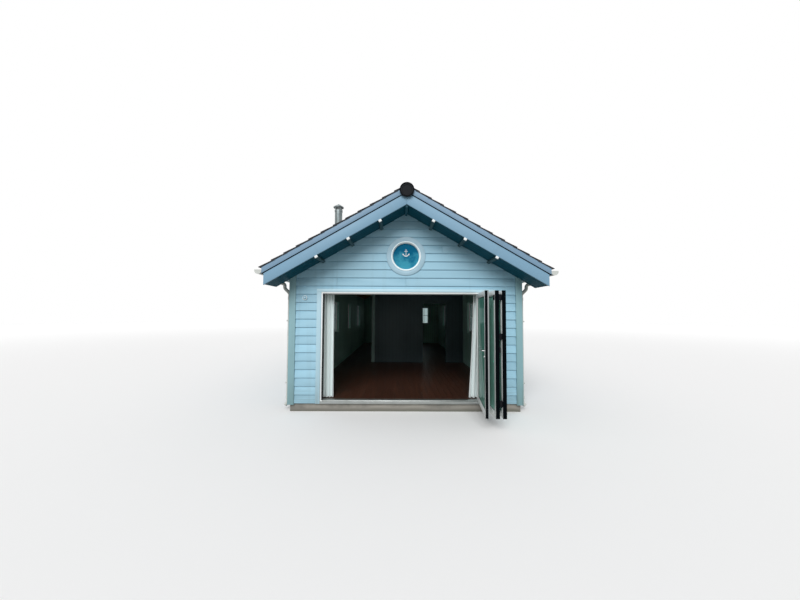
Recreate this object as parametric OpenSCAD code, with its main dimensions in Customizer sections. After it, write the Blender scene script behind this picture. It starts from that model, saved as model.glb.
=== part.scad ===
// A weatherboarded beach hut with a gabled, tiled roof and a folding glass front.
// Millimetres. The front faces -Y, +X is to the right, +Z is up, and the origin is
// on the ground in the middle of the base. A lap-boarded wall is drawn to its
// sheathing: trim stands on that face and hides the ends of the boards.

/* [Walls] */
// Width over the sheathing of the side walls
hut_w = 4420; // [4200:10:4700]
// Length over the sheathing of the front and rear walls
hut_l = 11200; // [10200:100:12600]
// Height of the side walls' outer faces, from the floor to the soffit line
eaves_h = 2340; // [2300:5:2450]
// Thickness of the outer walls
wall_t = 150; // [130:5:170]
// Height of the base above the ground
base_h = 150; // [100:10:250]
// How far the base stands back behind the wall faces
base_inset = 15; // [5:5:30]
// Thickness of the boarded floor
floor_t = 50; // [35:5:70]

/* [Roof] */
// Pitch of both slopes in degrees
pitch = 30; // [28:1:32]
// Depth of a rafter, square to the slope
rafter_d = 180; // [160:5:200]
// Width of a rafter
rafter_w = 50; // [40:5:60]
// Distance between rafters, centre to centre
rafter_step = 600; // [500:25:650]
// Gap between a gable wall and the first rafter
rafter_gap = 25; // [10:5:40]
// Depth of a rafter's tail outside the wall, square to the slope
tail_d = 120; // [90:5:140]
// How far a rafter's tail reaches past the side wall
tail_out = 265; // [220:5:290]
// Thickness of the boards and battens over the rafters
deck_t = 88; // [70:2:100]
// How far the boards and battens reach past the side wall
eaves_out = 330; // [310:5:360]
// Thickness of the tiles
tile_t = 25; // [16:1:35]
// How far the tiles reach past the boards at the eaves
tile_lip = 35; // [20:5:50]
// Thickness of the ridge board
ridge_w = 44; // [32:2:60]
// Depth of the ridge board
ridge_d = 250; // [235:5:280]
// Outer radius of the ridge tiles
ridge_r = 130; // [124:1:140]
// Thickness of the ridge tiles
ridge_t = 18; // [12:1:22]
// Height of the roof's peak over the centre of the ridge tiles
ridge_sink = 106; // [100:1:110]
// Length of a ridge tile, which is fitted to a whole number of them
ridge_tile_l = 460; // [400:10:500]
// Width of the band over the joint between two ridge tiles
union_w = 52; // [40:2:70]
// How far that band stands proud of the ridge tiles
union_t = 8; // [4:1:12]
// Thickness of the round plate that closes the ridge
ridge_cap_t = 25; // [20:1:40]

/* [Verges] */
// How far the bargeboards stand in front of the gable walls
verge_out = 550; // [450:10:600]
// Thickness of the bargeboards
barge_t = 28; // [20:1:36]
// How far the bargeboards hang below the soffit, square to the slope
barge_drop = 12; // [8:1:20]
// How far the bargeboards reach past the side wall
barge_out = 300; // [280:5:310]
// Thickness of the upper verge boards
verge_t = 22; // [18:1:30]
// How far the verge boards stand proud of the bargeboards
verge_proud = 16; // [8:1:16]
// How far the tiles hang over the verge boards
verge_lip = 14; // [8:1:25]
// Side of the square timbers under the soffit
bracket_s = 55; // [40:1:70]
// Distance of the outermost pair of those timbers from the middle
bracket_x = 1610; // [1500:10:1750]
// Distance between those timbers, along the floor
bracket_step = 560; // [500:10:620]

/* [Folding doors] */
// Width over the door frame
door_w = 3250; // [3100:10:3300]
// Height of the door frame above the floor
door_h = 2075; // [2000:5:2120]
// Width of the door frame's face
door_face = 45; // [35:1:60]
// Depth of the door frame
door_d = 80; // [70:1:95]
// How far the frame stands in front of the sheathing
door_proud = 18; // [5:1:25]
// Gap between the door frame and the walls
door_fit = 4; // [2:1:6]
// Height of the bottom track above the floor
track_h = 15; // [8:1:20]
// Thickness of a folding leaf
leaf_t = 64; // [56:1:70]
// Width of a leaf's stiles
stile_w = 78; // [60:1:100]
// Height of a leaf's top and bottom rails
rail_w = 72; // [64:1:100]
// How far the leaves reach up into the rebate of the frame's head
leaf_lap = 14; // [10:1:18]
// Thickness of the sealed glazing
pane_t = 24; // [18:1:32]
// Width of the beads that hold the glazing in a leaf
bead_w = 14; // [12:1:20]
// How far the beads stand back from a leaf's faces
bead_set = 5; // [2:1:8]
// How far the leaves' inner edges stand behind the front of the door frame
leaf_set = 45; // [36:1:56]
// Gap between the first two leaves at their hinges
fold_gap = 46; // [42:1:50]
// Height of a hinge
hinge_h = 100; // [80:5:120]
// Thickness of a hinge's plates, with their clearance
hinge_t = 3; // [2:0.5:4]
// Width of a hinge's plates
hinge_w = 58; // [45:1:70]
// Diameter of a hinge's knuckle
knuckle_d = 26; // [20:1:28]
// Height of the middle hinges above a leaf's foot
mid_hinge_h = 1235; // [900:5:1300]
// Height of the door handle above a leaf's foot
handle_h = 1056; // [950:2:1100]
// Length of the door handle's lever
lever_l = 110; // [90:5:130]
// Width of the boards that surround the doors
surround_w = 86; // [60:1:100]
// Height of the board over the doors
surround_h = 56; // [40:1:90]

/* [Windows] */
// Width of a side window with two lights
window_w = 1000; // [900:10:1080]
// Width of the narrow side window
narrow_w = 560; // [480:10:640]
// Height of the side windows
window_h = 950; // [850:10:1000]
// Height of the window sills above the floor
sill_h = 1060; // [1000:10:1100]
// Width of a window frame's face, from the opening to the glass
sash_w = 62; // [50:1:75]
// Width of the fixed part of that face
fixed_w = 24; // [18:1:30]
// Depth of a window frame
sash_d = 90; // [70:1:110]
// Thickness of the sashes
sash_t = 64; // [60:1:68]
// How far the sashes stand in front of the fixed frame
sash_proud = 6; // [3:1:10]
// Width above which a window has two lights
light_max = 800; // [700:50:850]
// Distance of the first side window from the front wall
first_window = 3400; // [3000:50:3800]
// Distance of the narrow side window from the front wall
narrow_window = 5900; // [5500:50:6000]
// Distance of the last side window from the rear wall
last_window = 2600; // [2200:50:2800]
// Distance of the rear windows from the middle
rear_window_x = 1050; // [950:10:1150]
// Diameter over the round window's frame
round_d = 578; // [500:2:600]
// Width of the round window's frame
round_face = 36; // [34:1:50]
// How far the round window's frame stands in front of the trim
round_out = 14; // [8:1:20]
// Depth of the round window's frame behind the face of the wall
round_deep = 90; // [80:1:110]
// Width of the flat ring around the round window
round_trim = 87; // [60:1:100]
// Height of the round window's centre above the floor
round_h = 2772; // [2750:2:2800]

/* [Trim] */
// Width of the corner boards
corner_w = 95; // [70:1:120]
// Thickness of all the trim that stands on the sheathing
trim_t = 30; // [24:1:40]
// Width of the boards around the windows
casing_w = 70; // [50:1:90]
// How far a window sill stands out from the sheathing
sill_out = 60; // [55:1:80]
// Thickness of a window sill
sill_t = 40; // [30:1:50]
// How far a sill's nose lies below its back
sill_fall = 10; // [6:1:14]
// How far a sill reaches past the boards beside the window
sill_ear = 25; // [15:1:35]
// Diameter of the round lamp beside the doors
lamp_d = 92; // [75:1:110]
// Depth of the lamp's body
lamp_body = 40; // [25:1:55]
// Height of the lamp's centre above the floor
lamp_h = 1958; // [1900:2:2050]
// How far the lamp stands outside the middle of its strip of wall
lamp_shift = 24; // [0:1:40]

/* [Rainwater and flue] */
// Width of a gutter
gutter_w = 130; // [115:1:140]
// Depth of a gutter
gutter_d = 80; // [72:1:90]
// Thickness of a gutter's wall
gutter_t = 3; // [2.5:0.5:4]
// How far a gutter's clips and joints stand proud of it
clip_t = 3; // [2:0.5:4]
// Width of a gutter's clips
clip_w = 28; // [20:1:40]
// Width of a gutter's joints
joint_w = 90; // [70:5:120]
// Radius of the rolled edge along a gutter's front
roll_r = 4; // [3:0.5:5]
// How far a gutter's rim lies below the underside of the tiles at the eaves
gutter_drop = 34; // [30:1:40]
// Diameter of a downpipe
pipe_d = 68; // [60:1:75]
// How far a downpipe's sockets and straps stand proud of it
socket_t = 4; // [3:0.5:5]
// Height of a downpipe's sockets
socket_h = 60; // [45:1:80]
// Height of a downpipe's foot above the ground
pipe_foot = 60; // [30:5:90]
// Diameter of the flue
flue_d = 200; // [175:5:225]
// Thickness of the flue's twin wall
flue_t = 25; // [20:1:30]
// Length of a section of the flue
flue_l = 500; // [400:10:520]
// Distance of the flue from the middle of the roof
flue_x = 1790; // [1700:10:1850]
// Height of the flue's top above the floor
flue_top = 4465; // [4200:5:4700]
// Diameter of the flue's cowl
cowl_d = 278; // [250:2:300]
// Gap between the flue's top and its cowl
cowl_gap = 64; // [50:1:80]
// Height of the cowl's cone
cowl_rise = 80; // [60:1:100]
// Height of the cowl's rim
cowl_rim = 20; // [14:1:26]
// Height of the cowl's collar
cowl_collar = 45; // [40:1:60]
// How far the flashing's plate reaches past the flue
flash_out = 150; // [120:5:180]
// Height of the flashing's cone
flash_h = 230; // [200:5:250]
// Width of the cone's foot, past the flue
flash_foot = 65; // [50:1:75]
// Number of the roof bay that the flue passes through
flue_bay = 3; // [2:1:4]

/* [Inside] */
// Distance of the partition behind the front wall
partition_y = 4500; // [4300:50:4800]
// Thickness of the partition
partition_t = 100; // [75:5:120]
// Width of the post at the end of the partition
post_w = 110; // [90:5:130]
// Width of the corridor beside the partition
corridor_w = 1110; // [900:10:1200]
// Width of the partition's doorway
inner_door_w = 780; // [700:10:850]
// Height of the partition's doorway
inner_door_h = 2000; // [1950:10:2050]
// Distance of that doorway from the right-hand wall
inner_door_x = 590; // [400:10:700]
// Width of the left-hand curtain, drawn back
curtain_w = 240; // [180:5:300]
// Width of the right-hand curtain at its top, drawn back
wide_w = 300; // [240:5:320]
// Thickness of a drawn-back curtain
curtain_t = 110; // [80:5:130]
// How far the right-hand curtain flares at its foot
curtain_flare = 100; // [60:5:120]
// Height of the curtains' feet above the floor
curtain_foot = 12; // [5:1:30]
// Diameter of the curtain rail
rail_d = 25; // [20:1:32]
// Distance of the curtain rail from the front wall
rail_out = 75; // [68:1:90]
// Height of the curtain rail over the doors
rail_up = 130; // [100:5:150]
// How far the curtain rail reaches past the doors
rail_reach = 90; // [70:5:120]

/* [Hidden] */

$fn = 64;

// Clearance between pieces that rest on each other
seat = 0.3;
// A cut runs this far past the faces that it opens
over = 20;

half_w = hut_w / 2;
half_l = hut_l / 2;
front_y = -half_l;
floor_z = base_h + floor_t;
fall = tan(pitch);
plumb = 1 / cos(pitch);

// Heights at which each layer of the roof would meet over the middle of the hut
soffit_z = floor_z + eaves_h + half_w * fall;
deck_z = soffit_z + rafter_d * plumb;
tile_z = deck_z + deck_t * plumb;
peak_z = tile_z + tile_t * plumb;

tail_x = half_w + tail_out;
eaves_x = half_w + eaves_out;
barge_x = half_w + barge_out;
tile_x = eaves_x + tile_lip;
barge_y = half_l + verge_out;
verge_y = barge_y + verge_proud;
tile_y = verge_y + verge_lip;

rafter_y0 = front_y + wall_t + rafter_gap + rafter_w / 2;
rafter_count = 1 + floor((hut_l - 2 * (wall_t + rafter_gap) - rafter_w) / rafter_step);

door_top = floor_z + door_h;
jamb_x = door_w / 2;
door_y = front_y - door_proud;
trim_y = front_y - trim_t;

// The folded leaves: each leaf's turn in degrees, from the jamb outwards
leaf_turn = [0.5, 2.2, 7.2];
leaf_w = (door_w - 2 * door_face) / 3 - 3;
leaf_z0 = floor_z + track_h + 5;
leaf_z1 = door_top - door_face + leaf_lap - 3;
leaf_h = leaf_z1 - leaf_z0;
leaf_far_y = door_y + leaf_set;
hinge_gap = 2;
// Right-hand face of each leaf where it stands at the door frame
leaf_1_x = jamb_x - door_face - hinge_t;
leaf_2_x = leaf_1_x - leaf_w * (sin(leaf_turn[0]) - sin(leaf_turn[1])) - leaf_t - fold_gap;
leaf_x = [leaf_1_x, leaf_2_x, leaf_2_x - leaf_t - hinge_gap];
// A knuckle's centre from the leaf's outer end, and how far it stands out from the face
knuckle_y = 14;
knuckle_x = fold_gap + knuckle_y * sin(leaf_turn[0] - leaf_turn[1]) - hinge_t - knuckle_d / 2;

window_z = floor_z + sill_h;
sash_gap = 2.5;
side_windows = [
    [front_y + first_window, window_w],
    [front_y + narrow_window, narrow_w],
    [half_l - last_window, window_w]
];
round_z = floor_z + round_h;

gutter_x = eaves_x + seat + gutter_w / 2;
gutter_top = tile_z - eaves_x * fall - gutter_drop;
pipe_x = half_w + trim_t + 5 + pipe_d / 2;
pipe_y = rafter_y0 - rafter_w / 2 - 20 - pipe_d / 2;
// Heights of the straps that hold a downpipe, above the floor
strap_z = [300, 1500];
strap_h = 30;

flue_y = rafter_y0 + (flue_bay + 0.5) * rafter_step;
flue_roof_z = peak_z - flue_x * fall;

rail_y = front_y + wall_t + rail_out;
rail_z = door_top + rail_up;

// Draws its children as they are, or mirrored to the left
module on_side(side) {
    if (side < 0) {
        mirror([1, 0, 0]) children();
    } else {
        children();
    }
}

// Draws its children as they are at the front, or turned to the rear
module at_end(end) {
    if (end > 0) {
        rotate([0, 0, 180]) children();
    } else {
        children();
    }
}

// Carries a profile drawn in X and Z from y0 to y1
module along(y0, y1) {
    translate([0, y1, 0])
        rotate([90, 0, 0])
            linear_extrude(height = y1 - y0)
                children();
}

// A layer of the right-hand slope, from x0 to x1, cut plumb, between two peak heights
module slope(x0, x1, low, high) {
    polygon([
        [x0, low - x0 * fall],
        [x1, low - x1 * fall],
        [x1, high - x1 * fall],
        [x0, high - x0 * fall]
    ]);
}

// A block from corner to corner
module block(low, high) {
    translate(low) cube(high - low);
}

// A round bar between two points
module bar(a, b, r) {
    d = b - a;
    translate(a)
        rotate([0, acos(d.z / norm(d)), atan2(d.y, d.x)])
            cylinder(r = r, h = norm(d));
}

// The ground floor and its base

module base() {
    color("dimgray")
        block([-half_w + base_inset, front_y + base_inset, 0],
              [half_w - base_inset, half_l - base_inset, base_h]);
}

module floor() {
    color("saddlebrown")
        block([-half_w + wall_t, front_y + wall_t, base_h],
              [half_w - wall_t, half_l - wall_t, floor_z]);
}

module threshold() {
    color("silver") {
        block([-jamb_x - door_fit + seat, trim_y, base_h],
              [jamb_x + door_fit - seat, front_y + wall_t - seat, floor_z]);
        block([-jamb_x + door_face + seat, door_y + 15, floor_z],
              [jamb_x - door_face - seat, door_y + door_d - 15, floor_z + track_h]);
    }
}

// The walls

module front_wall_side(side) {
    color("lightblue")
        on_side(side)
            block([jamb_x + door_fit, front_y, base_h],
                  [half_w, front_y + wall_t, door_top + door_fit]);
}

module front_wall_left() {
    front_wall_side(-1);
}

module front_wall_right() {
    front_wall_side(1);
}

// The outline of a gable wall above the height z0
module gable_outline(z0) {
    top = deck_z - seat * plumb;
    difference() {
        polygon([
            [-half_w, z0],
            [half_w, z0],
            [half_w, top - half_w * fall],
            [0, top],
            [-half_w, top - half_w * fall]
        ]);
        translate([-ridge_w / 2 - seat, ridge_low_z() - seat])
            square([ridge_w + 2 * seat, ridge_d + over]);
    }
}

module front_gable() {
    color("lightblue")
        difference() {
            along(front_y, front_y + wall_t)
                gable_outline(door_top + door_fit);
            translate([0, front_y - over, round_z])
                rotate([-90, 0, 0])
                    cylinder(d = round_d + 2 * seat, h = wall_t + 2 * over);
        }
}

module rear_wall() {
    color("lightblue")
        difference() {
            along(half_l - wall_t, half_l)
                gable_outline(base_h);
            for (side = [-1, 1])
                translate([side * rear_window_x - window_w / 2 - seat, half_l - wall_t - over,
                           window_z - seat])
                    cube([window_w + 2 * seat, wall_t + 2 * over, window_h + 2 * seat]);
        }
}

// A side wall runs up between the rafters, so its top is notched for each of them
module side_wall() {
    top = deck_z - seat * plumb;
    in_x = half_w - wall_t;
    difference() {
        along(front_y + wall_t, half_l - wall_t)
            polygon([
                [in_x, base_h],
                [half_w, base_h],
                [half_w, top - half_w * fall],
                [in_x, top - in_x * fall]
            ]);
        for (w = side_windows)
            translate([in_x - over, w[0] - w[1] / 2 - seat, window_z - seat])
                cube([wall_t + 2 * over, w[1] + 2 * seat, window_h + 2 * seat]);
        for (i = [0 : rafter_count - 1])
            along(rafter_y(i) - rafter_w / 2 - seat, rafter_y(i) + rafter_w / 2 + seat)
                slope(in_x - over, half_w + over, soffit_z - seat * plumb, deck_z + over);
    }
}

module left_wall() {
    color("lightblue") on_side(-1) side_wall();
}

module right_wall() {
    color("lightblue") side_wall();
}

module partition() {
    y0 = front_y + partition_y;
    x0 = -half_w + wall_t + corridor_w;
    x1 = half_w - wall_t - seat;
    door_x1 = x1 - inner_door_x;
    top = soffit_z - seat * plumb;
    color("darkslategray")
        difference() {
            along(y0, y0 + partition_t)
                polygon([
                    [x0, floor_z],
                    [x1, floor_z],
                    [x1, top - x1 * fall],
                    [0, top],
                    [x0, top + x0 * fall]
                ]);
            translate([door_x1 - inner_door_w, y0 - over, floor_z - over])
                cube([inner_door_w, partition_t + 2 * over, inner_door_h + over]);
            translate([-ridge_w / 2 - seat, y0 - over, ridge_low_z() - seat])
                cube([ridge_w + 2 * seat, partition_t + 2 * over, ridge_d]);
        }
}

module partition_post() {
    y0 = front_y + partition_y;
    x1 = -half_w + wall_t + corridor_w - seat;
    x0 = x1 - post_w;
    top = soffit_z - seat * plumb;
    color("gainsboro")
        along(y0 - 10, y0 + partition_t + 10)
            polygon([
                [x0, floor_z],
                [x1, floor_z],
                [x1, top + x1 * fall],
                [x0, top + x0 * fall]
            ]);
}

// The roof's frame

function rafter_y(i) = rafter_y0 + i * rafter_step;

function ridge_low_z() = deck_z - seat * plumb - ridge_w / 2 * fall - ridge_d;

module ridge_board() {
    end_y = barge_y - barge_t - seat;
    color("burlywood")
        translate([-ridge_w / 2, -end_y, ridge_low_z()])
            cube([ridge_w, 2 * end_y, ridge_d]);
}

// One rafter's side view: full depth over the hut, and a shallower tail outside
module rafter_outline() {
    x0 = ridge_w / 2 + seat;
    top = deck_z - seat * plumb;
    tail_z = deck_z - tail_d * plumb;
    polygon([
        [x0, soffit_z - x0 * fall],
        [half_w, soffit_z - half_w * fall],
        [half_w, tail_z - half_w * fall],
        [tail_x, tail_z - tail_x * fall],
        [tail_x, top - tail_x * fall],
        [x0, top - x0 * fall]
    ]);
}

module rafters(side) {
    color("lightsteelblue")
        on_side(side)
            for (i = [0 : rafter_count - 1])
                along(rafter_y(i) - rafter_w / 2, rafter_y(i) + rafter_w / 2)
                    rafter_outline();
}

module rafters_left() {
    rafters(-1);
}

module rafters_right() {
    rafters(1);
}

// Boards and battens, with the tiles over them and past their edges
module roof_slope() {
    along(-barge_y - verge_proud + verge_t + seat, barge_y + verge_proud - verge_t - seat)
        slope(seat / 2, eaves_x, deck_z, tile_z);
    along(-tile_y, tile_y)
        slope(seat / 2, tile_x, tile_z, peak_z);
}

module roof_left() {
    color("rosybrown")
        difference() {
            on_side(-1) roof_slope();
            translate([-flue_x, flue_y, flue_roof_z])
                cylinder(d = flue_d + 2 * seat, h = 2000, center = true);
        }
}

module roof_right() {
    color("rosybrown") roof_slope();
}

// The part of a ring over the ridge that stands clear of both slopes
module ridge_arch(outer, inner) {
    reach = ridge_r + over;
    low = peak_z + seat * plumb;
    intersection() {
        translate([0, peak_z - ridge_sink])
            difference() {
                circle(r = outer);
                circle(r = inner);
            }
        polygon([
            [0, low],
            [reach, low - reach * fall],
            [reach, peak_z + ridge_r],
            [-reach, peak_z + ridge_r],
            [-reach, low - reach * fall]
        ]);
    }
}

// Half-round tiles end to end, with a raised band over each joint
module ridge_tiles() {
    count = round(2 * tile_y / ridge_tile_l);
    step = 2 * tile_y / count;
    color("dimgray") {
        along(-tile_y, tile_y)
            ridge_arch(ridge_r, ridge_r - ridge_t);
        for (i = [1 : count - 1])
            along(-tile_y + i * step - union_w / 2, -tile_y + i * step + union_w / 2)
                ridge_arch(ridge_r + union_t, ridge_r - ridge_t / 2);
    }
}

// A round plate with a rounded rim, a groove inside it and a raised ring
module ridge_end_caps() {
    face = ridge_cap_t / 3;
    color("black")
        for (end = [-1, 1])
            at_end(end)
                translate([0, -tile_y - seat, peak_z - ridge_sink])
                    rotate([90, 0, 0])
                        rotate_extrude()
                            polygon([
                                [0, 0],
                                [ridge_r, 0],
                                [ridge_r, ridge_cap_t - 8],
                                [ridge_r - 3, ridge_cap_t - 2],
                                [ridge_r - 7, ridge_cap_t],
                                [ridge_r - 12, ridge_cap_t - 4],
                                [ridge_r - 16, face],
                                [ridge_r - 20, face],
                                [ridge_r - 24, ridge_cap_t - 10],
                                [ridge_r - 42, ridge_cap_t - 10],
                                [ridge_r - 46, face],
                                [0, face]
                            ]);
}

// The verges

// The closed box between a gable wall, the soffit and a bargeboard
module boxed_verges() {
    color("lightsteelblue")
        for (end = [-1, 1], side = [-1, 1])
            at_end(end)
                on_side(side)
                    along(-barge_y + barge_t + seat, front_y - seat)
                        slope(ridge_w / 2 + seat, barge_x, soffit_z, deck_z - seat * plumb);
}

// Square timbers from the gable wall out under the soffit, notched for the bargeboard
module gable_brackets() {
    color("white")
        for (end = [-1, 1], side = [-1, 1], i = [0 : 2]) {
            x = bracket_x - i * bracket_step;
            at_end(end)
                on_side(side)
                    difference() {
                        translate([x, -barge_y - 4, soffit_z - seat * plumb - x * fall])
                            rotate([0, pitch, 0])
                                translate([-bracket_s / 2, 0, -bracket_s])
                                    cube([bracket_s, verge_out + 4 - seat, bracket_s]);
                        along(-barge_y - over, -barge_y + barge_t + seat)
                            slope(x - bracket_s, x + bracket_s,
                                  soffit_z - (barge_drop + seat) * plumb, deck_z);
                    }
        }
}

module bargeboards() {
    color("steelblue")
        for (end = [-1, 1], side = [-1, 1])
            at_end(end)
                on_side(side)
                    along(-barge_y, -barge_y + barge_t)
                        slope(seat / 2, barge_x, soffit_z - barge_drop * plumb,
                              deck_z - seat * plumb);
}

module verge_boards() {
    color("lightsteelblue")
        for (end = [-1, 1], side = [-1, 1])
            at_end(end)
                on_side(side)
                    along(-verge_y, -verge_y + verge_t)
                        slope(seat / 2, eaves_x, deck_z, tile_z - seat * plumb);
}

// Rainwater goods

// The outside of a gutter, or its inside when drawn smaller by t, around the middle of
// its round bottom
module gutter_trough(t, top) {
    r = gutter_w / 2 - t;
    intersection() {
        circle(r = r);
        translate([-r, -r]) square([2 * r, r]);
    }
    translate([-r, 0]) square([2 * r, top]);
}

// A gutter's wall, between two of those outlines
module gutter_shell(outside, inside) {
    rim = gutter_d - gutter_w / 2;
    difference() {
        gutter_trough(outside, rim);
        gutter_trough(inside, rim + over);
    }
}

// Three lengths of gutter with two joints, a clip on every second rafter, a rolled front
// edge and a plate at each end
module gutter(side) {
    end_y = barge_y;
    rim = gutter_d - gutter_w / 2;
    inside = clip_t + gutter_t;
    color("whitesmoke")
        on_side(side)
            translate([gutter_x, 0, gutter_top - rim]) {
                along(-end_y, end_y) {
                    gutter_shell(clip_t, inside);
                    translate([gutter_w / 2 - clip_t - roll_r, rim - roll_r])
                        circle(r = roll_r);
                }
                for (end = [-1, 1]) {
                    at_end(end)
                        along(-end_y, -end_y + gutter_t)
                            gutter_trough(0, rim);
                    along(end * end_y / 3 - joint_w / 2, end * end_y / 3 + joint_w / 2)
                        gutter_shell(0, inside);
                }
                for (i = [0 : 2 : rafter_count - 1])
                    along(rafter_y(i) - clip_w / 2, rafter_y(i) + clip_w / 2)
                        gutter_shell(0, inside);
            }
}

module gutter_left() {
    gutter(-1);
}

module gutter_right() {
    gutter(1);
}

// The swan neck leaves the gutter, steps in under the eaves and runs down the wall, with
// sockets at its joints, two straps to the wall and a shoe that throws the water out
module downpipe(side) {
    $fn = 32;
    r = pipe_d / 2;
    top = gutter_top - gutter_d - seat;
    mid_x = (pipe_x + gutter_x) / 2 - 60;
    shoe_z = pipe_foot + 100;
    way = [
        [gutter_x, pipe_y, top],
        [gutter_x, pipe_y, top - 45],
        [mid_x, pipe_y, top - 115],
        [mid_x, pipe_y, top - 195],
        [pipe_x, pipe_y, top - 300],
        [pipe_x, pipe_y, shoe_z],
        [pipe_x + 45, pipe_y, shoe_z - 75]
    ];
    last = len(way) - 1;
    color("whitesmoke")
        on_side(side) {
            for (i = [1 : last]) {
                short = 12 * (way[i] - way[i - 1]) / norm(way[i] - way[i - 1]);
                bar(way[i - 1] + (i == 1 ? 0 : 1) * short, way[i] - (i == last ? 0 : 1) * short, r);
            }
            for (i = [1 : last - 1])
                translate(way[i]) sphere(r = r + socket_t);
            translate([gutter_x, pipe_y, top - 18])
                cylinder(r = r + 2.5 * socket_t, h = 18);
            for (z = [top - 300 - 2 * socket_h, shoe_z + 50])
                translate([pipe_x, pipe_y, z])
                    cylinder(r = r + socket_t, h = socket_h);
            for (h = strap_z)
                translate([0, 0, floor_z + h]) {
                    translate([pipe_x, pipe_y, 0]) cylinder(r = r + socket_t, h = strap_h);
                    block([half_w + seat, pipe_y - 20, 0], [pipe_x, pipe_y + 20, strap_h]);
                }
        }
}

module downpipes() {
    for (side = [-1, 1])
        downpipe(side);
}

// The flue

// A twin-wall pipe, with a locking band where two sections meet
module flue_pipe() {
    low = deck_z - flue_x * fall - 250;
    top = floor_z + flue_top;
    color("silver")
        translate([-flue_x, flue_y, 0])
            difference() {
                union() {
                    translate([0, 0, low]) cylinder(d = flue_d, h = top - low);
                    for (i = [1, 2])
                        translate([0, 0, top - i * flue_l - 22]) cylinder(d = flue_d + 8, h = 44);
                }
                translate([0, 0, low - over])
                    cylinder(d = flue_d - 2 * flue_t, h = top - low + 2 * over);
            }
}

// A shallow cone on four straps over the open top of the flue
module flue_cowl() {
    hat = cowl_gap + cowl_rim;
    bore = flue_d + 2 * seat;
    color("gray")
        translate([-flue_x, flue_y, floor_z + flue_top]) {
            translate([0, 0, -cowl_collar])
                difference() {
                    cylinder(d = flue_d + 12, h = cowl_collar);
                    translate([0, 0, -over]) cylinder(d = bore, h = cowl_collar + 2 * over);
                }
            for (a = [45 : 90 : 315])
                rotate([0, 0, a])
                    translate([bore / 2, -12, -20])
                        cube([6 - seat, 24, cowl_gap + 24]);
            translate([0, 0, cowl_gap]) cylinder(d = cowl_d, h = cowl_rim);
            translate([0, 0, hat]) cylinder(d1 = cowl_d, d2 = 40, h = cowl_rise);
        }
}

// A plate on the tiles, and a cone around the flue with a collar at its top
module flue_flashing() {
    size = flue_d + 2 * flash_out;
    collar = 25;
    color("slategray")
        difference() {
            union() {
                translate([-flue_x, flue_y, flue_roof_z + seat * plumb])
                    rotate([0, -pitch, 0])
                        translate([-size / 2, -size / 2, 0])
                            cube([size, size, 8]);
                translate([-flue_x, flue_y, flue_roof_z]) {
                    cylinder(d1 = flue_d + 2 * flash_foot, d2 = flue_d + 18, h = flash_h - collar);
                    translate([0, 0, flash_h - collar]) cylinder(d = flue_d + 26, h = collar);
                }
            }
            translate([-flue_x, flue_y, 0])
                cylinder(d = flue_d + 2 * seat, h = 2 * peak_z);
            on_side(-1)
                along(-half_l, half_l)
                    slope(0, half_w, 0, peak_z + seat * plumb);
        }
}

// The trim on the sheathing

// A board's outline from the height z0 up to a slope whose peak height is top
module under_slope(x0, x1, z0, top) {
    polygon([
        [x0, z0],
        [x1, z0],
        [x1, top - x1 * fall],
        [x0, top - x0 * fall]
    ]);
}

module corner_boards() {
    low = base_h - 20;
    color("lightblue")
        for (end = [-1, 1], side = [-1, 1])
            at_end(end)
                on_side(side) {
                    along(trim_y, front_y - seat)
                        under_slope(half_w - corner_w, half_w + trim_t, low, soffit_z - seat * plumb);
                    along(front_y - seat, front_y + corner_w)
                        under_slope(half_w + seat, half_w + trim_t, low, deck_z - seat * plumb);
                }
}

module door_surround() {
    in_x = jamb_x + seat;
    color("powderblue")
        difference() {
            block([-in_x - surround_w, trim_y, base_h],
                  [in_x + surround_w, front_y - seat, door_top + seat + surround_h]);
            block([-in_x, trim_y - over, base_h - over],
                  [in_x, front_y + over, door_top + seat]);
        }
}

// The folding doors

module door_frame() {
    color("white")
        difference() {
            block([-jamb_x, door_y, floor_z],
                  [jamb_x, door_y + door_d, door_top]);
            block([-jamb_x + door_face, door_y - over, floor_z - over],
                  [jamb_x - door_face, door_y + door_d + over, door_top - door_face]);
            block([-jamb_x + door_face, door_y - over, door_top - door_face - over],
                  [jamb_x - door_face, leaf_far_y + 14, door_top - door_face + leaf_lap]);
        }
}

// Puts a leaf's own frame, whose far right corner is its origin, where leaf i stands
module leaf_place(i) {
    translate([leaf_x[i], leaf_far_y, leaf_z0])
        rotate([0, 0, -leaf_turn[i]])
            children();
}

// A rectangle within a leaf's stiles and rails, from x0 to x1, smaller by edge all round
module leaf_window(x0, x1, edge) {
    translate([x0, -leaf_w + stile_w + edge, rail_w + edge])
        cube([x1 - x0, leaf_w - 2 * (stile_w + edge), leaf_h - 2 * (rail_w + edge)]);
}

// Stiles and rails, with beads that stand back from both faces and hold the glazing
module leaf_frame() {
    groove = (leaf_t - pane_t) / 2 - seat;
    difference() {
        translate([-leaf_t, -leaf_w, 0]) cube([leaf_t, leaf_w, leaf_h]);
        leaf_window(-leaf_t - over, over, bead_w);
        leaf_window(-leaf_t - over, -leaf_t + bead_set, 0);
        leaf_window(-bead_set, over, 0);
        leaf_window(-leaf_t + groove, -groove, 0);
    }
}

// Puts a hinge's part at the height of each hinge on a leaf
module at_hinges() {
    for (z = [leaf_h - 60 - hinge_h, mid_hinge_h, 180])
        translate([0, 0, z]) children();
}

// A hinge's plate on a leaf's right-hand face, from y0 outwards
module hinge_plate(y0, width, thick) {
    translate([0, y0 - width, 6]) cube([thick, width, hinge_h - 12]);
}

// The first leaf hangs on the jamb, and takes the knuckles' plates on its other face
module door_leaf_1() {
    color("white")
        leaf_place(0) {
            leaf_frame();
            at_hinges() {
                hinge_plate(-2, hinge_w, hinge_t - seat);
                translate([-leaf_t - hinge_t + seat, 0, 0])
                    hinge_plate(-leaf_w + hinge_w, hinge_w, hinge_t - seat);
            }
        }
}

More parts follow.
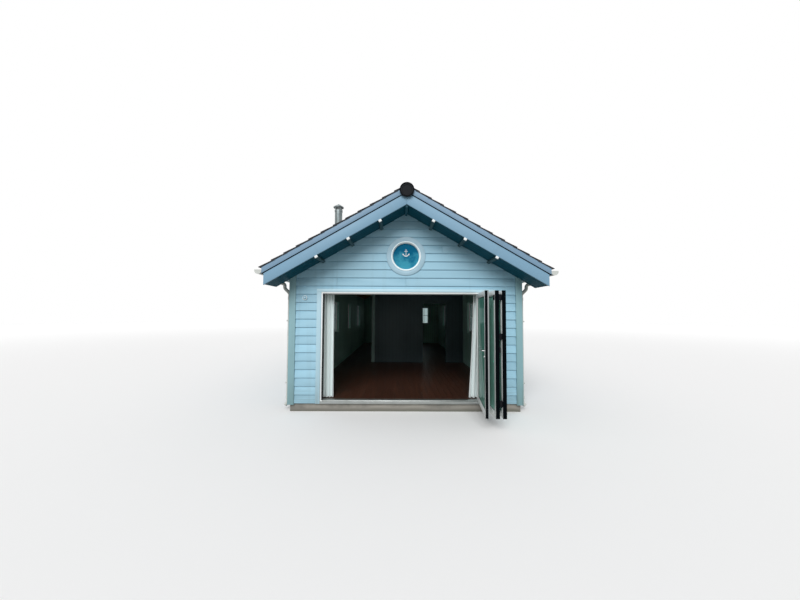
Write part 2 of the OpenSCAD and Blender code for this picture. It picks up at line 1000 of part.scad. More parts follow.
// A plate, a web and the knuckle on its pin
module knuckle_hinge() {
    hinge_plate(-leaf_w + hinge_w, hinge_w, hinge_t);
    translate([0, -leaf_w + knuckle_y - 5, 0]) cube([knuckle_x, 10, hinge_h]);
    translate([knuckle_x, -leaf_w + knuckle_y, 0]) cylinder(d = knuckle_d, h = hinge_h);
    translate([knuckle_x, -leaf_w + knuckle_y, -8]) cylinder(d = 12, h = hinge_h + 16);
}

// The second leaf carries the knuckles, a catch between them, and a bolt near its top
module door_leaf_2() {
    color("white")
        leaf_place(1) {
            leaf_frame();
            at_hinges() knuckle_hinge();
            block([0, -leaf_w + 2, mid_hinge_h - 205], [18, -leaf_w + 22, mid_hinge_h - 115]);
            block([-leaf_t - 12, -leaf_w + 11, leaf_h - 152], [-leaf_t, -leaf_w + 75, leaf_h - 67]);
        }
}

// A lever on a narrow plate, with a keyhole below it, on a leaf's left-hand face
module door_handle() {
    stand = 46;
    translate([-leaf_t, -leaf_w + stile_w / 2 + 3, handle_h]) {
        block([-6, -14, -126], [0, 14, 54]);
        bar([0, 0, 0], [-stand, 0, 0], 8);
        bar([-stand, -7, 0], [-stand, lever_l, -4], 7.5);
        bar([0, 0, -94], [-12, 0, -94], 11);
    }
}

// The third leaf hangs on the second at the door frame, and its pin runs in the head
module door_leaf_3() {
    color("white")
        leaf_place(2) {
            leaf_frame();
            at_hinges() hinge_plate(0, 24, hinge_gap - seat);
            translate([-leaf_t / 2, -30, leaf_h]) cylinder(r = 9, h = 3 - seat);
            door_handle();
        }
}

module door_glass() {
    color("darkseagreen")
        for (i = [0 : 2])
            leaf_place(i)
                leaf_window(-(leaf_t + pane_t) / 2, -(leaf_t - pane_t) / 2, seat);
}

// The round window

// A ring in the face of the front gable, from y0 to y1
module gable_ring(y0, y1, outer, inner) {
    translate([0, y1, round_z])
        rotate([90, 0, 0])
            difference() {
                cylinder(d = outer, h = y1 - y0, $fn = 96);
                translate([0, 0, -over])
                    cylinder(d = inner, h = y1 - y0 + 2 * over, $fn = 96);
            }
}

module round_window_surround() {
    color("powderblue")
        gable_ring(trim_y - 4, front_y - seat, round_d + 2 * seat + 2 * round_trim,
                   round_d + 2 * seat);
}

// A turned frame: a rounded outer edge, a step, and a bead that slopes to the glass
module round_window_frame() {
    r = round_d / 2;
    front = trim_t + round_out + round_deep;
    color("white")
        translate([0, front_y + round_deep, round_z])
            rotate([90, 0, 0])
                rotate_extrude($fn = 96)
                    polygon([
                        [r, 0],
                        [r, front - 10],
                        [r - 3, front - 3],
                        [r - 10, front],
                        [r - 18, front - 1],
                        [r - 22, front - 6],
                        [r - 22, front - 22],
                        [r - 30, front - 24],
                        [r - round_face, front - 34],
                        [r - round_face, 0]
                    ]);
}

module round_window_glass() {
    color("steelblue")
        translate([0, front_y + 40, round_z])
            rotate([90, 0, 0])
                cylinder(d = round_d - 2 * round_face - 2 * seat, h = pane_t, $fn = 96);
}

// The casement windows

// The lights of a window that is w wide, each as the distances of its two sides from the
// window's middle, and the same for the sashes around them
function light_count(w) = w > light_max ? 2 : 1;
function light_w(w) = (w - (light_count(w) + 1) * sash_w) / light_count(w);
function light_x(w, i) = -w / 2 + sash_w + i * (light_w(w) + sash_w);
function sash_x0(w, i) = i == 0 ? -w / 2 + fixed_w : fixed_w / 2;
function sash_x1(w, i) = i == light_count(w) - 1 ? w / 2 - fixed_w : -fixed_w / 2;

// A window's frame: a fixed ring, with a mullion between two lights, and the sashes that
// stand a little in front of it
module window_frame(w) {
    difference() {
        union() {
            block([-w / 2, sash_proud, 0], [w / 2, sash_d, window_h]);
            for (i = [0 : light_count(w) - 1])
                block([sash_x0(w, i) + sash_gap, 0, fixed_w + sash_gap],
                      [sash_x1(w, i) - sash_gap, sash_t, window_h - fixed_w - sash_gap]);
        }
        for (i = [0 : light_count(w) - 1])
            block([light_x(w, i), -over, sash_w],
                  [light_x(w, i) + light_w(w), sash_d + over, window_h - sash_w]);
    }
}

module window_pane(w) {
    for (i = [0 : light_count(w) - 1])
        block([light_x(w, i) + seat, (sash_d - pane_t) / 2, sash_w + seat],
              [light_x(w, i) + light_w(w) - seat, (sash_d + pane_t) / 2, window_h - sash_w - seat]);
}

// A sill that slopes to its nose, with a groove below that stops the water
module window_sill(half) {
    drip = 8;
    translate([-half, 0, -seat])
        rotate([90, 0, 90])
            linear_extrude(height = 2 * half)
                polygon([
                    [-seat, -sill_t],
                    [-seat, 0],
                    [-trim_t, 0],
                    [-sill_out, -sill_fall],
                    [-sill_out, -sill_t],
                    [-sill_out + 1.5 * drip, -sill_t],
                    [-sill_out + 1.5 * drip, -sill_t + drip],
                    [-sill_out + 2.5 * drip, -sill_t + drip],
                    [-sill_out + 2.5 * drip, -sill_t]
                ]);
}

// Flat boards around a window, and the sill under them
module window_casing(w) {
    in_w = w / 2 + seat;
    out_w = in_w + casing_w;
    top = window_h + seat;
    difference() {
        block([-out_w, -trim_t, -seat], [out_w, -seat, top + casing_w]);
        block([-in_w, -trim_t - over, -seat - over], [in_w, over, top]);
    }
    window_sill(out_w + sill_ear);
}

// Puts a window, drawn in a wall that faces -Y, into each opening
module at_each_window() {
    for (side = [-1, 1], w = side_windows)
        translate([side * half_w, w[0], window_z])
            rotate([0, 0, side * 90])
                window_item(w[1]) children();
    for (side = [-1, 1])
        translate([side * rear_window_x, half_l, window_z])
            rotate([0, 0, 180])
                window_item(window_w) children();
}

module window_item(w) {
    $window_w = w;
    children();
}

module window_casings() {
    color("powderblue") at_each_window() window_casing($window_w);
}

module window_frames() {
    color("white") at_each_window() window_frame($window_w);
}

module window_glass() {
    color("slategray") at_each_window() window_pane($window_w);
}

// Curtains and fittings

// A drawn-back curtain: hung straight at the jamb, and flared on its inner side
module curtain(side, width, flare) {
    top = rail_z - rail_d / 2 - seat;
    out_x = jamb_x + 30;
    on_side(side)
        along(rail_y - curtain_t / 2, rail_y + curtain_t / 2)
            polygon([
                [out_x - width - flare, floor_z + curtain_foot],
                [out_x, floor_z + curtain_foot],
                [out_x, top],
                [out_x - width, top]
            ]);
}

module curtain_left() {
    color("ivory") curtain(-1, curtain_w, 0);
}

module curtain_right() {
    color("ivory") curtain(1, wide_w, curtain_flare);
}

module curtain_rail() {
    reach = jamb_x + rail_reach;
    color("gray") {
        bar([-reach, rail_y, rail_z], [reach, rail_y, rail_z], rail_d / 2);
        for (x = [-reach + 30, 0, reach - 30])
            block([x - 8, front_y + wall_t + seat, rail_z - 8], [x + 8, rail_y, rail_z + 8]);
    }
}

// A round lamp with a rim and a domed glass, between the door surround and the corner
module wall_lamp() {
    lamp_x = (jamb_x + seat + surround_w + half_w - corner_w) / 2 + lamp_shift;
    r = lamp_d / 2;
    dome = [
        for (a = [0 : 15 : 75])
            [(r - 10) * cos(a), lamp_body + lamp_body / 2 * sin(a)]
    ];
    color("white")
        translate([-lamp_x, front_y - seat, floor_z + lamp_h])
            rotate([90, 0, 0])
                rotate_extrude()
                    polygon(concat(
                        [[0, 0], [r - 2, 0], [r, 2], [r, 10], [r - 3, 13]],
                        [[r - 3, lamp_body - 10], [r - 1, lamp_body - 8], [r - 1, lamp_body - 2]],
                        [[r - 3, lamp_body]],
                        dome,
                        [[0, lamp_body * 3 / 2]]
                    ));
}

base();
floor();
threshold();
front_wall_left();
front_wall_right();
front_gable();
left_wall();
right_wall();
rear_wall();
partition();
partition_post();
ridge_board();
rafters_left();
rafters_right();
roof_left();
roof_right();
ridge_tiles();
ridge_end_caps();
boxed_verges();
gable_brackets();
bargeboards();
verge_boards();
gutter_left();
gutter_right();
downpipes();
flue_pipe();
flue_cowl();
flue_flashing();
corner_boards();
door_surround();
door_frame();
door_leaf_1();
door_leaf_2();
door_leaf_3();
door_glass();
round_window_surround();
round_window_frame();
round_window_glass();
window_casings();
window_frames();
window_glass();
curtain_left();
curtain_right();
curtain_rail();
wall_lamp();
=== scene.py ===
# %% [markdown]
# # A weatherboarded beach hut with a folding glass front
# The construction of the hut comes from a CAD model: walls with real openings, rafters,
# roof, door frame, folded leaves and windows. This lesson dresses it. Each part gets the
# boards, tiles, beads, hinges and paint that the real one has, in metres and in the same
# place, so nothing here moves or resizes the hut.

import random
from math import atan2, copysign, cos, radians, sin, tan, tau

import bpy
from mathutils import Matrix, Vector


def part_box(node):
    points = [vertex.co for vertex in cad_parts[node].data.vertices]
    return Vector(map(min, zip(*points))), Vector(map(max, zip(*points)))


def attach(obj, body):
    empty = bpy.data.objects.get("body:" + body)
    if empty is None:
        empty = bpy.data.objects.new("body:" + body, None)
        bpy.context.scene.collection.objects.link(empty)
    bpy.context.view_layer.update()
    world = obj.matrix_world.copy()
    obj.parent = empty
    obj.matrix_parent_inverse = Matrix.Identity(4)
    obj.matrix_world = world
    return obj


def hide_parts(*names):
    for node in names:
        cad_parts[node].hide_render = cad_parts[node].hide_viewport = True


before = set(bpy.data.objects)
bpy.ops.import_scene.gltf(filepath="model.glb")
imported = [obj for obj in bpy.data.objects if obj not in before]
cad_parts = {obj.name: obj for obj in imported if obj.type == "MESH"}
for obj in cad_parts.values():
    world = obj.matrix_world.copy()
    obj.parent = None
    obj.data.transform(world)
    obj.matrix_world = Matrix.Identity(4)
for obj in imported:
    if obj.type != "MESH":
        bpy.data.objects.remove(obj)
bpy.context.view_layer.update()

# %% [markdown]
# ## The camera
# The hut is seen from just over eleven metres in front of its middle, at eye height, with
# a very wide lens. The camera looks up by two and a half degrees and is level to a
# quarter of a degree. Its three axes are built from those angles.

# %% Place the camera
FLOOR_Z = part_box("floor")[1].z
EYE = Vector((-0.133, -11.384, FLOOR_Z + 1.674))
YAW, TIP, ROLL = 0.0035, 0.0431, 0.0044
LENS, SENSOR, FARTHEST = 13.5, 36, 200

ahead = Vector((sin(YAW) * cos(TIP), cos(YAW) * cos(TIP), sin(TIP)))
level = Vector((cos(YAW), -sin(YAW), 0))
upward = level.cross(ahead)
side = level * cos(ROLL) + upward * sin(ROLL)
over = upward * cos(ROLL) - level * sin(ROLL)
turn = Matrix((side, over, -ahead)).transposed()

bpy.ops.object.camera_add(location=EYE, rotation=turn.to_euler())
camera = bpy.context.object
camera.name = "camera"
camera.data.sensor_width, camera.data.lens = SENSOR, LENS
camera.data.clip_end = FARTHEST
bpy.context.scene.camera = camera
bpy.context.scene.view_settings.view_transform = "Standard"
print("camera at", [round(v, 3) for v in camera.location])

# %% [markdown]
# ## Shader sums in plain Python
# A finish is a small tree of nodes. `Wire` stands for one output socket and lets the
# maths be written as Python sums, and `Finish` adds any node with one method. So a
# recipe reads as a recipe: noise, times this, clipped, mixed between two colours.


# %% A wire and a finish
class Wire:
    """One output of a shader node, for use in Python sums."""

    def __init__(self, finish, socket):
        self.finish, self.socket = finish, socket

    def maths(self, operation, *values):
        return self.finish.add("Math", dict(enumerate(values)), operation=operation)

    def size(self):
        return self.maths("ABSOLUTE", self)

    def fade(self, low, high, at_low=0.0, at_high=1.0):
        """A smooth step from one value to another between low and high."""
        inputs = dict(enumerate((self, low, high, at_low, at_high)))
        return self.finish.add("MapRange", inputs, interpolation_type="SMOOTHSTEP")


def sign(operation, swapped=False):
    """The method behind a Python sign, as a node."""
    if swapped:
        return lambda self, other: self.maths(operation, other, self)
    return lambda self, other: self.maths(operation, self, other)


Wire.__add__ = Wire.__radd__ = sign("ADD")
Wire.__mul__ = Wire.__rmul__ = sign("MULTIPLY")
Wire.__sub__, Wire.__rsub__ = sign("SUBTRACT"), sign("SUBTRACT", swapped=True)
Wire.__truediv__ = sign("DIVIDE")
Wire.__gt__ = sign("GREATER_THAN")


class Finish:
    """A material in the making. Its patterns are in metres, in the hut's own frame."""

    def __init__(self, name, owner=None):
        self.owner = owner or bpy.data.materials.new(name)
        self.owner.use_nodes = True
        self.tree = self.owner.node_tree
        self.tree.nodes.clear()
        if owner is None:
            self.place = self.add("TexCoord", out="Object")

    def add(self, kind, inputs=(), out=0, **settings):
        node = self.tree.nodes.new("ShaderNode" + kind)
        for key, value in settings.items():
            setattr(node, key, value)
        for key, value in dict(inputs).items():
            if isinstance(value, Wire):
                self.tree.links.new(value.socket, node.inputs[key])
            elif value is not None:
                node.inputs[key].default_value = value
        return Wire(self, node.outputs[out]) if node.outputs else None

    def axis(self, letter):
        return self.add("SeparateXYZ", {0: self.place}, letter)

    def noise(self, sizes, detail=3.0, rough=0.5, twist=0.0):
        """Noise, as fine as sizes says: a small number for an axis makes a long grain."""
        sizes = sizes if isinstance(sizes, tuple) else (sizes,) * 3
        spread = self.add("VectorMath", {0: self.place, 1: sizes}, operation="MULTIPLY")
        inputs = {"Vector": spread, "Scale": 1, "Detail": detail}
        return self.add("TexNoise", {**inputs, "Roughness": rough, "Distortion": twist})

    def mark(self, name):
        """A number that a piece carries on its faces, such as one for each board."""
        return self.add("Attribute", (), "Fac", attribute_type="GEOMETRY", attribute_name=name)

    def mix(self, share, one, other):
        return self.add("Mix", {0: share, 6: one, 7: other}, 2, data_type="RGBA")

    def bump(self, height, strength=0.3, depth=0.002, under=None):
        inputs = {"Height": height, "Strength": strength, "Distance": depth}
        return self.add("Bump", {**inputs, "Normal": under})

    def done(self, colour, rough, normal=None, **others):
        """Close the recipe with one shader. Others are more of its inputs, by name."""
        inputs = {key.replace("_", " "): value for key, value in others.items()}
        inputs.update({"Base Color": colour, "Roughness": rough, "Normal": normal})
        self.add("OutputMaterial", {"Surface": self.add("BsdfPrincipled", inputs)})
        return self.owner


def rgb(*screen):
    """A colour as it is read off a screen, 0 to 255, made linear for the shader."""
    parts = [v / 255 for v in screen]
    return tuple(v / 12.92 if v <= 0.04045 else ((v + 0.055) / 1.055) ** 2.4 for v in parts) + (1,)


def shade(colour, share):
    """The same colour, darker or lighter."""
    return tuple(min(1, v * share) for v in colour[:3]) + (1,)


# %% [markdown]
# ## A plain studio
# The photograph was taken under a bright, even cloud. A pale dome gives that light here,
# with one sun lamp in front, made very broad so that its shadows stay soft. The white
# that the camera sees behind the hut comes from Light Path, and adds no light to it.

# %% Light the studio
SKY_LIGHT = 0.58
SUN_SHINES = Vector((0.14, 0.79, -0.61))
SUN_POWER, SUN_WIDTH = 2.25, radians(38)
WHITE = rgb(255, 255, 255)


def seen_directly(f):
    """1 for what the camera sees: straight, in a reflection, or through glass."""
    share = f.add("LightPath", out="Is Camera Ray")
    for ray in ("Is Glossy Ray", "Is Transmission Ray"):
        share = share.maths("MAXIMUM", share, f.add("LightPath", out=ray))
    return share


sky = Finish("studio", bpy.data.worlds.new("studio"))
glow = {"Color": WHITE, "Strength": seen_directly(sky).fade(0, 1, SKY_LIGHT, 1)}
sky.add("OutputWorld", {"Surface": sky.add("Background", glow)})
bpy.context.scene.world = sky.owner

bpy.ops.object.light_add(type="SUN", location=(-2, -12, 9))
cloud_light = bpy.context.object
cloud_light.name = "cloud_light"
cloud_light.data.energy, cloud_light.data.angle = SUN_POWER, SUN_WIDTH
cloud_light.rotation_euler = SUN_SHINES.to_track_quat("-Z", "Y").to_euler()

f = Finish("studio_floor")
tone = f.mix(f.noise(3, 4).fade(0.3, 0.7, 0.97, 1.0), rgb(234, 234, 234), rgb(240, 240, 240))
distance = f.add("VectorMath", {0: f.place}, "Value", operation="LENGTH")
tone = f.mix(distance.fade(10, 40), tone, WHITE)
tone = f.mix(seen_directly(f), rgb(150, 150, 146), tone)
bpy.ops.mesh.primitive_circle_add(vertices=64, radius=60, fill_type="NGON")
studio_floor = bpy.context.object
studio_floor.name = "studio_floor"
studio_floor.data.materials.append(f.done(tone, 0.9))
print("studio lit")

# %% [markdown]
# ## Tools for working by hand
# Blender's operators act on whatever is selected, so every helper first deselects
# everything and then picks its own piece. Faces are picked in code by where they lie or
# which way they point, as one would pick them by eye.


# %% Helpers for modelling
def only(*pieces):
    """Leave object mode with just these pieces selected, the first one active."""
    if bpy.context.object and bpy.context.object.mode != "OBJECT":
        bpy.ops.object.mode_set(mode="OBJECT")
    bpy.ops.object.select_all(action="DESELECT")
    for piece in pieces:
        piece.select_set(True)
    bpy.context.view_layer.objects.active = pieces[0]


def apply_place(piece):
    only(piece)
    bpy.ops.object.transform_apply(location=True, rotation=True, scale=True)
    return piece


def block(low, high):
    """A box from corner to corner."""
    low, high = Vector(low), Vector(high)
    bpy.ops.object.select_all(action="DESELECT")
    bpy.ops.mesh.primitive_cube_add(size=1, location=(low + high) / 2, scale=high - low)
    return apply_place(bpy.context.object)


def rod(start, stop, radius, sides=24, tip=None):
    """A round bar from one point to another, tapered if tip is given."""
    start, stop = Vector(start), Vector(stop)
    bpy.ops.object.select_all(action="DESELECT")
    bpy.ops.mesh.primitive_cone_add(
        vertices=sides,
        radius1=radius,
        radius2=radius if tip is None else tip,
        depth=(stop - start).length,
        location=(start + stop) / 2,
        rotation=(stop - start).to_track_quat("Z", "Y").to_euler(),
    )
    return apply_place(bpy.context.object)


def pick(piece, test=lambda place, way: True, kind="FACE"):
    """Go into edit mode on a piece with only the faces or corners that pass."""
    only(piece)
    mesh = piece.data
    for group in (mesh.vertices, mesh.edges, mesh.polygons):
        group.foreach_set("select", [False] * len(group))
    if kind == "FACE":
        for face in mesh.polygons:
            face.select = bool(test(face.center, face.normal))
    else:
        for corner in mesh.vertices:
            corner.select = bool(test(corner.co, corner.normal))
    bpy.context.tool_settings.mesh_select_mode = (kind == "VERT", False, kind == "FACE")
    bpy.ops.object.mode_set(mode="EDIT")


def leave_edit():
    bpy.ops.object.mode_set(mode="OBJECT")


def shift(piece, test, by, kind="VERT"):
    """Move the corners or faces that pass a test."""
    pick(piece, test, kind)
    bpy.ops.transform.translate(value=by)
    leave_edit()


def bisect(piece, place, way, test=lambda place, way: True):
    """Cut the faces that pass a test along a plane."""
    pick(piece, test)
    bpy.ops.mesh.bisect(plane_co=place, plane_no=way)
    leave_edit()


def modify(piece, kind, **settings):
    """Add a modifier and apply it."""
    only(piece)
    added = piece.modifiers.new(kind.title(), kind)
    for key, value in settings.items():
        setattr(added, key, value)
    bpy.ops.object.modifier_apply(modifier=added.name)
    return piece


def soften(piece, width=0.003, rounds=2):
    """Take the sharpness off every edge, as a plane, a brush or a mould does."""
    limit = {"limit_method": "ANGLE", "angle_limit": radians(30)}
    return modify(piece, "BEVEL", width=width, segments=rounds, **limit)


def join(pieces):
    """Several pieces as one mesh."""
    pieces = list(pieces)
    only(*pieces)
    if len(pieces) > 1:
        bpy.ops.object.join()
    return pieces[0]


def placed(piece, matrix):
    piece.data.transform(matrix)
    return piece


def copy_at(piece, matrix):
    """A copy with its own mesh, moved by a matrix."""
    twin = piece.copy()
    twin.data = piece.data.copy()
    placed(twin, matrix)
    if matrix.is_negative:
        twin.data.flip_normals()
    bpy.context.scene.collection.objects.link(twin)
    return twin


def repeat(piece, matrices):
    """One piece modelled once and set at each place, joined."""
    twins = [copy_at(piece, matrix) for matrix in matrices]
    bpy.data.objects.remove(piece)
    return join(twins)


def extent(piece):
    """The low and high end of a piece along each axis."""
    return [(min(axis), max(axis)) for axis in zip(*(v.co for v in piece.data.vertices))]


def saw(pieces, tools):
    """Cut each piece by each tool that reaches it, and drop what is cut away whole."""
    for tool in tools:
        span = extent(tool)
        for piece in list(pieces):
            if all(a < d and c < b for (a, b), (c, d) in zip(extent(piece), span)):
                modify(piece, "BOOLEAN", operation="DIFFERENCE", solver="MANIFOLD", object=tool)
            if not piece.data.polygons:
                pieces.remove(piece)
                bpy.data.objects.remove(piece)
        bpy.data.objects.remove(tool)
    return pieces


def move(*by):
    return Matrix.Translation(by)


def rotate(degrees, letter):
    return Matrix.Rotation(radians(degrees), 4, letter)


def dress(piece, name, finish, slot, *nodes, angle=35):
    """Name, paint and seat a finished piece, and hide the CAD nodes it stands for."""
    piece.name = piece.data.name = name
    piece.data.materials.clear()
    piece.data.materials.append(finish)
    only(piece)
    bpy.ops.object.shade_smooth_by_angle(angle=radians(angle))
    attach(piece, "root")
    if nodes:
        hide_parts(*nodes)
    print(f"{name}: {sum(len(face.vertices) - 2 for face in piece.data.polygons)} triangles")


SAME, MIRROR, HALF_TURN = Matrix.Identity(4), Matrix.Scale(-1, 4, (1, 0, 0)), rotate(180, "Z")


def from_cad(node, ease):
    """A copy of a CAD node with its loose triangles merged and its edges softened."""
    twin = copy_at(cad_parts[node], SAME)
    twin.parent = None
    for key in list(twin.keys()):
        del twin[key]
    pick(twin)
    bpy.ops.mesh.remove_doubles(threshold=0.00005)
    bpy.ops.mesh.dissolve_limited(angle_limit=radians(1))
    leave_edit()
    return soften(twin, ease)


def own_shape(node, ease, name, finish, slot):
    """A CAD node dressed in its own shape, with its edges eased."""
    dress(from_cad(node, ease), name, finish, slot, node)


# %% [markdown]
# ## Painted timber
# Every board of the hut is painted, and the paint does not hide the wood: the grain
# stands up along the board, the tone drifts a little from board to board, rain leaves
# faint vertical marks, and the foot of the wall is dirtier than the top. One recipe
# makes all of these and only the colour and the grain's direction change.

# %% The recipe for painted timber
PITCH = radians(30)
COS, SIN, SLOPE = cos(PITCH), sin(PITCH), tan(PITCH)
TO_SLOPE = rotate(30, "Y")
FINE, LONG = 55, 1.2
GRAIN = {"X": (LONG, FINE, FINE), "Y": (FINE, LONG, FINE), "Z": (FINE, FINE, LONG)}
GRAIN.update({"SLOPE": GRAIN["X"], "ALL": (18, 18, 18)})


def down_the_slope(f):
    """The place, turned so that X runs down whichever slope a point is on."""
    across, up = f.axis("X").size(), f.axis("Z")
    down, out = across * COS - up * SIN, across * SIN + up * COS
    return f.add("CombineXYZ", {"X": down, "Y": f.axis("Y"), "Z": out})


def painted(name, colour, grain, relief=0.0009, gloss=0.5, dirt=0.5, marks=0.10, shine=0.5):
    """Paint on timber whose grain runs along one axis."""
    f = Finish(name)
    if grain == "SLOPE":
        f.place = down_the_slope(f)
    fibre, drift = f.noise(GRAIN[grain], 6, 0.62, 0.4), f.noise(0.8, 4)
    tone = fibre * 0.25 + drift * 0.35 + f.mark("board") * 0.40
    base = f.mix(tone.fade(0.25, 0.75), shade(colour, 0.90), shade(colour, 1.06))
    rain = f.noise((7, 7, 0.35), 5).fade(0.5, 0.72) * marks
    base = f.mix(rain, base, rgb(96, 112, 112))
    foot = (f.axis("Z") + (f.noise(3, 5) - 0.5) * 0.5).fade(0.15, 0.75, dirt, 0.0)
    base = f.mix(foot * fibre.fade(0.2, 0.8), base, rgb(88, 96, 84))
    rough = gloss + (drift - 0.5) * 0.25 + fibre * 0.08
    bumps = f.bump(f.noise(160, 2), 0.12, 0.0005, f.bump(fibre, 0.55, relief))
    return f.done(base, rough, bumps, Specular_IOR_Level=shine)


LAP_BLUE, HEAD_BLUE = rgb(152, 196, 216), rgb(196, 230, 243)
front_paint = painted("front_boards_paint", LAP_BLUE, "X")
side_paint = painted("side_boards_paint", LAP_BLUE, "Y")
corner_paint = painted("corner_paint", rgb(140, 180, 188), "Z", relief=0.0006)
post_paint = painted("upright_trim_paint", rgb(180, 214, 228), "Z", relief=0.0006, marks=0.05)
trim_paint = painted("trim_paint", HEAD_BLUE, "X", relief=0.0006, marks=0.05)
print("painted timber ready")

# %% [markdown]
# ## Weatherboards
# Lap boards run round all four walls. Each is a long board with its foot standing over
# the head of the one below, so it throws a thin shadow line. One board is shaped once,
# and copied up the wall 160 mm at a time. Where a run is longer than a board, two boards
# meet end to end, never one joint above another. Then the openings, the trim and the
# slope of the roof are cut out of the run with one boolean, as a saw would.

# %% Shape one board, and lay a wall of them
HALF_W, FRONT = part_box("right_wall")[1].x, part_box("front_gable")[0].y
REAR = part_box("rear_wall")[1].y
LAP, BOARD = 0.1597, 0.186
FIRST_LINE = FLOOR_Z - 0.0434
END_GAP = 0.0012
chance = random.Random(8)


def mark_faces(piece, value):
    """Write one number on all the faces of a piece, for its finish to read."""
    layer = piece.data.attributes.new("board", "FLOAT", "FACE")
    layer.data.foreach_set("value", [value] * len(piece.data.polygons))
    return piece


def cut_to_length(pattern, start, stop, place):
    """A copy of a board that is shaped along X, its far end slid in or out to fit. The
    shaped ends keep their form, which a plain scale would stretch."""
    twin = copy_at(pattern, SAME)
    longest = max(corner.co.x for corner in twin.data.vertices)
    for corner in twin.data.vertices:
        if corner.co.x > longest / 2:
            corner.co.x += stop - start - longest
    return mark_faces(placed(twin, place @ move(start, 0, 0)), chance.random())


# Its back is on the wall at Y = 0, its foot stands 24 mm out in front, and below the
# next board's foot its face is scooped back, which makes the dark line between two boards
SCOOP_LOW, SCOOP_TOP = LAP - 0.020, LAP - 0.014
lap_board = block((0, -0.0095, 0), (1, -0.001, BOARD))
shift(lap_board, lambda place, way: place.z < 0.001, (0, -0.0115, 0))
shift(lap_board, lambda place, way: place.z < 0.001 and place.y < -0.015, (0, -0.003, 0))
for height in (SCOOP_LOW, SCOOP_TOP):
    bisect(lap_board, (0, 0, height), (0, 0, 1))
shift(lap_board, lambda place, way: place.z > LAP - 0.015 and place.y < -0.005, (0, 0.0065, 0))
soften(lap_board, 0.0014, 1)


def wall_of_boards(half, courses, joints):
    """Boards from X = -half to half, course upon course, with the joints of each."""
    boards = []
    for course in range(courses):
        ends = [-half, *joints(course), half]
        lift = move(0, 0, FIRST_LINE + course * LAP)
        for a, b in zip(ends, ends[1:]):
            boards.append(cut_to_length(lap_board, a + END_GAP, b - END_GAP, lift))
    return boards


# %% [markdown]
# The front wall is cut round the door surround, the ring of the round window, and the
# underside of the verge. At the rear two windows take the place of the doors. A side
# wall runs on up between the rafters' tails, so it is notched for each of them.

# %% Boards on all four walls
TRIM, CORNER = 0.002, 0.095
VERGE_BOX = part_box("boxed_verges")
SOFFIT_TOP = VERGE_BOX[0].z + VERGE_BOX[1].x * SLOPE
SILL_Z, WINDOW_H = FLOOR_Z + 1.06, 0.95
CASING, SILL_DEEP, SILL_EAR = 0.0703, 0.0403, 0.025
RAFTER_STEP, RAFTERS, FIRST_RAFTER, HALF_TAIL = 0.6, 19, FRONT + 0.2, 0.028
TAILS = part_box("rafters_right")
TAIL_UNDER = TAILS[0].z + (TAILS[1].x - HALF_W - 0.026) * SLOPE - 0.003
SURROUND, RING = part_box("door_surround"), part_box("round_window_surround")
RING_Z, RING_R = (RING[0].z + RING[1].z) / 2, (RING[1].x - RING[0].x) / 2
GABLE_COURSES, SIDE_COURSES = int((SOFFIT_TOP - FIRST_LINE) / LAP) + 1, 17
BOARD_RUN, BOARD_STEP, SHORTEST = 3.66, 2.42, 0.5
UNDER_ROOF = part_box("left_wall")[1].z - 0.122

# Each wall: where its own X, -Y (outwards) and Z lie in the hut
TO_FRONT, TO_REAR = move(0, FRONT, 0), move(0, REAR, 0) @ HALF_TURN
TO_RIGHT, TO_LEFT = move(HALF_W, 0, 0) @ rotate(90, "Z"), move(-HALF_W, 0, 0) @ rotate(-90, "Z")

# Windows: the middle of each along its wall's own X, its width, and its wall
SIDE_WINDOWS = [(FRONT + 3.4, 1.0), (FRONT + 5.9, 0.56), (REAR - 2.6, 1.0)]
REAR_WINDOWS = [(-1.05, 1.0), (1.05, 1.0)]
WINDOWS = [(x, w, TO_REAR) for x, w in REAR_WINDOWS]
WINDOWS += [(y, w, TO_RIGHT) for y, w in SIDE_WINDOWS]
WINDOWS += [(-y, w, TO_LEFT) for y, w in SIDE_WINDOWS]


def above_slope(low):
    """All that is above a gable's two slopes, to cut with."""
    half = placed(block((-0.5, -0.5, 0), (4, 0.5, 3)), move(0, 0, low) @ TO_SLOPE)
    return [half, copy_at(half, MIRROR)]


def at_casings(windows):
    """The outlines of casings and sills, to cut with."""
    for middle, width in windows:
        half = width / 2 + CASING + TRIM
        low, top = SILL_Z - SILL_DEEP - TRIM, SILL_Z + WINDOW_H + CASING + TRIM
        yield block((middle - half, -1, SILL_Z - 0.01), (middle + half, 1, top))
        half += SILL_EAR
        yield block((middle - half, -1, low), (middle + half, 1, SILL_Z))


def front_joints(course):
    return {14: [-1.328, 0.002], 18: [0.71]}.get(course, [])


def rear_joints(course):
    return [(-0.62, 0.48, -0.13, 0.9)[course % 4]]


def side_joints(course):
    first = -side_in + (course * BOARD_STEP - 0.12) % BOARD_RUN
    places = [first + k * BOARD_RUN for k in range(4)]
    return [place for place in places if abs(place) < side_in - SHORTEST]


gable_in, side_in = HALF_W - CORNER - TRIM, REAR - CORNER - TRIM
front_boards = wall_of_boards(gable_in, GABLE_COURSES, front_joints)
doorway = ((SURROUND[0].x - TRIM, -1, -1), (SURROUND[1].x + TRIM, 1, SURROUND[1].z + TRIM))
port_hole = ((0, -1, RING_Z), (0, 1, RING_Z), RING_R + TRIM, 96)
saw(front_boards, [block(*doorway), rod(*port_hole)])
rear_boards = wall_of_boards(gable_in, GABLE_COURSES, rear_joints)
saw(rear_boards, at_casings(REAR_WINDOWS))
for end, boards, place in (("front", front_boards, TO_FRONT), ("rear", rear_boards, TO_REAR)):
    boards = placed(join(saw(boards, above_slope(SOFFIT_TOP - 0.004))), place)
    dress(boards, end + "_weatherboards", front_paint, "cladding")

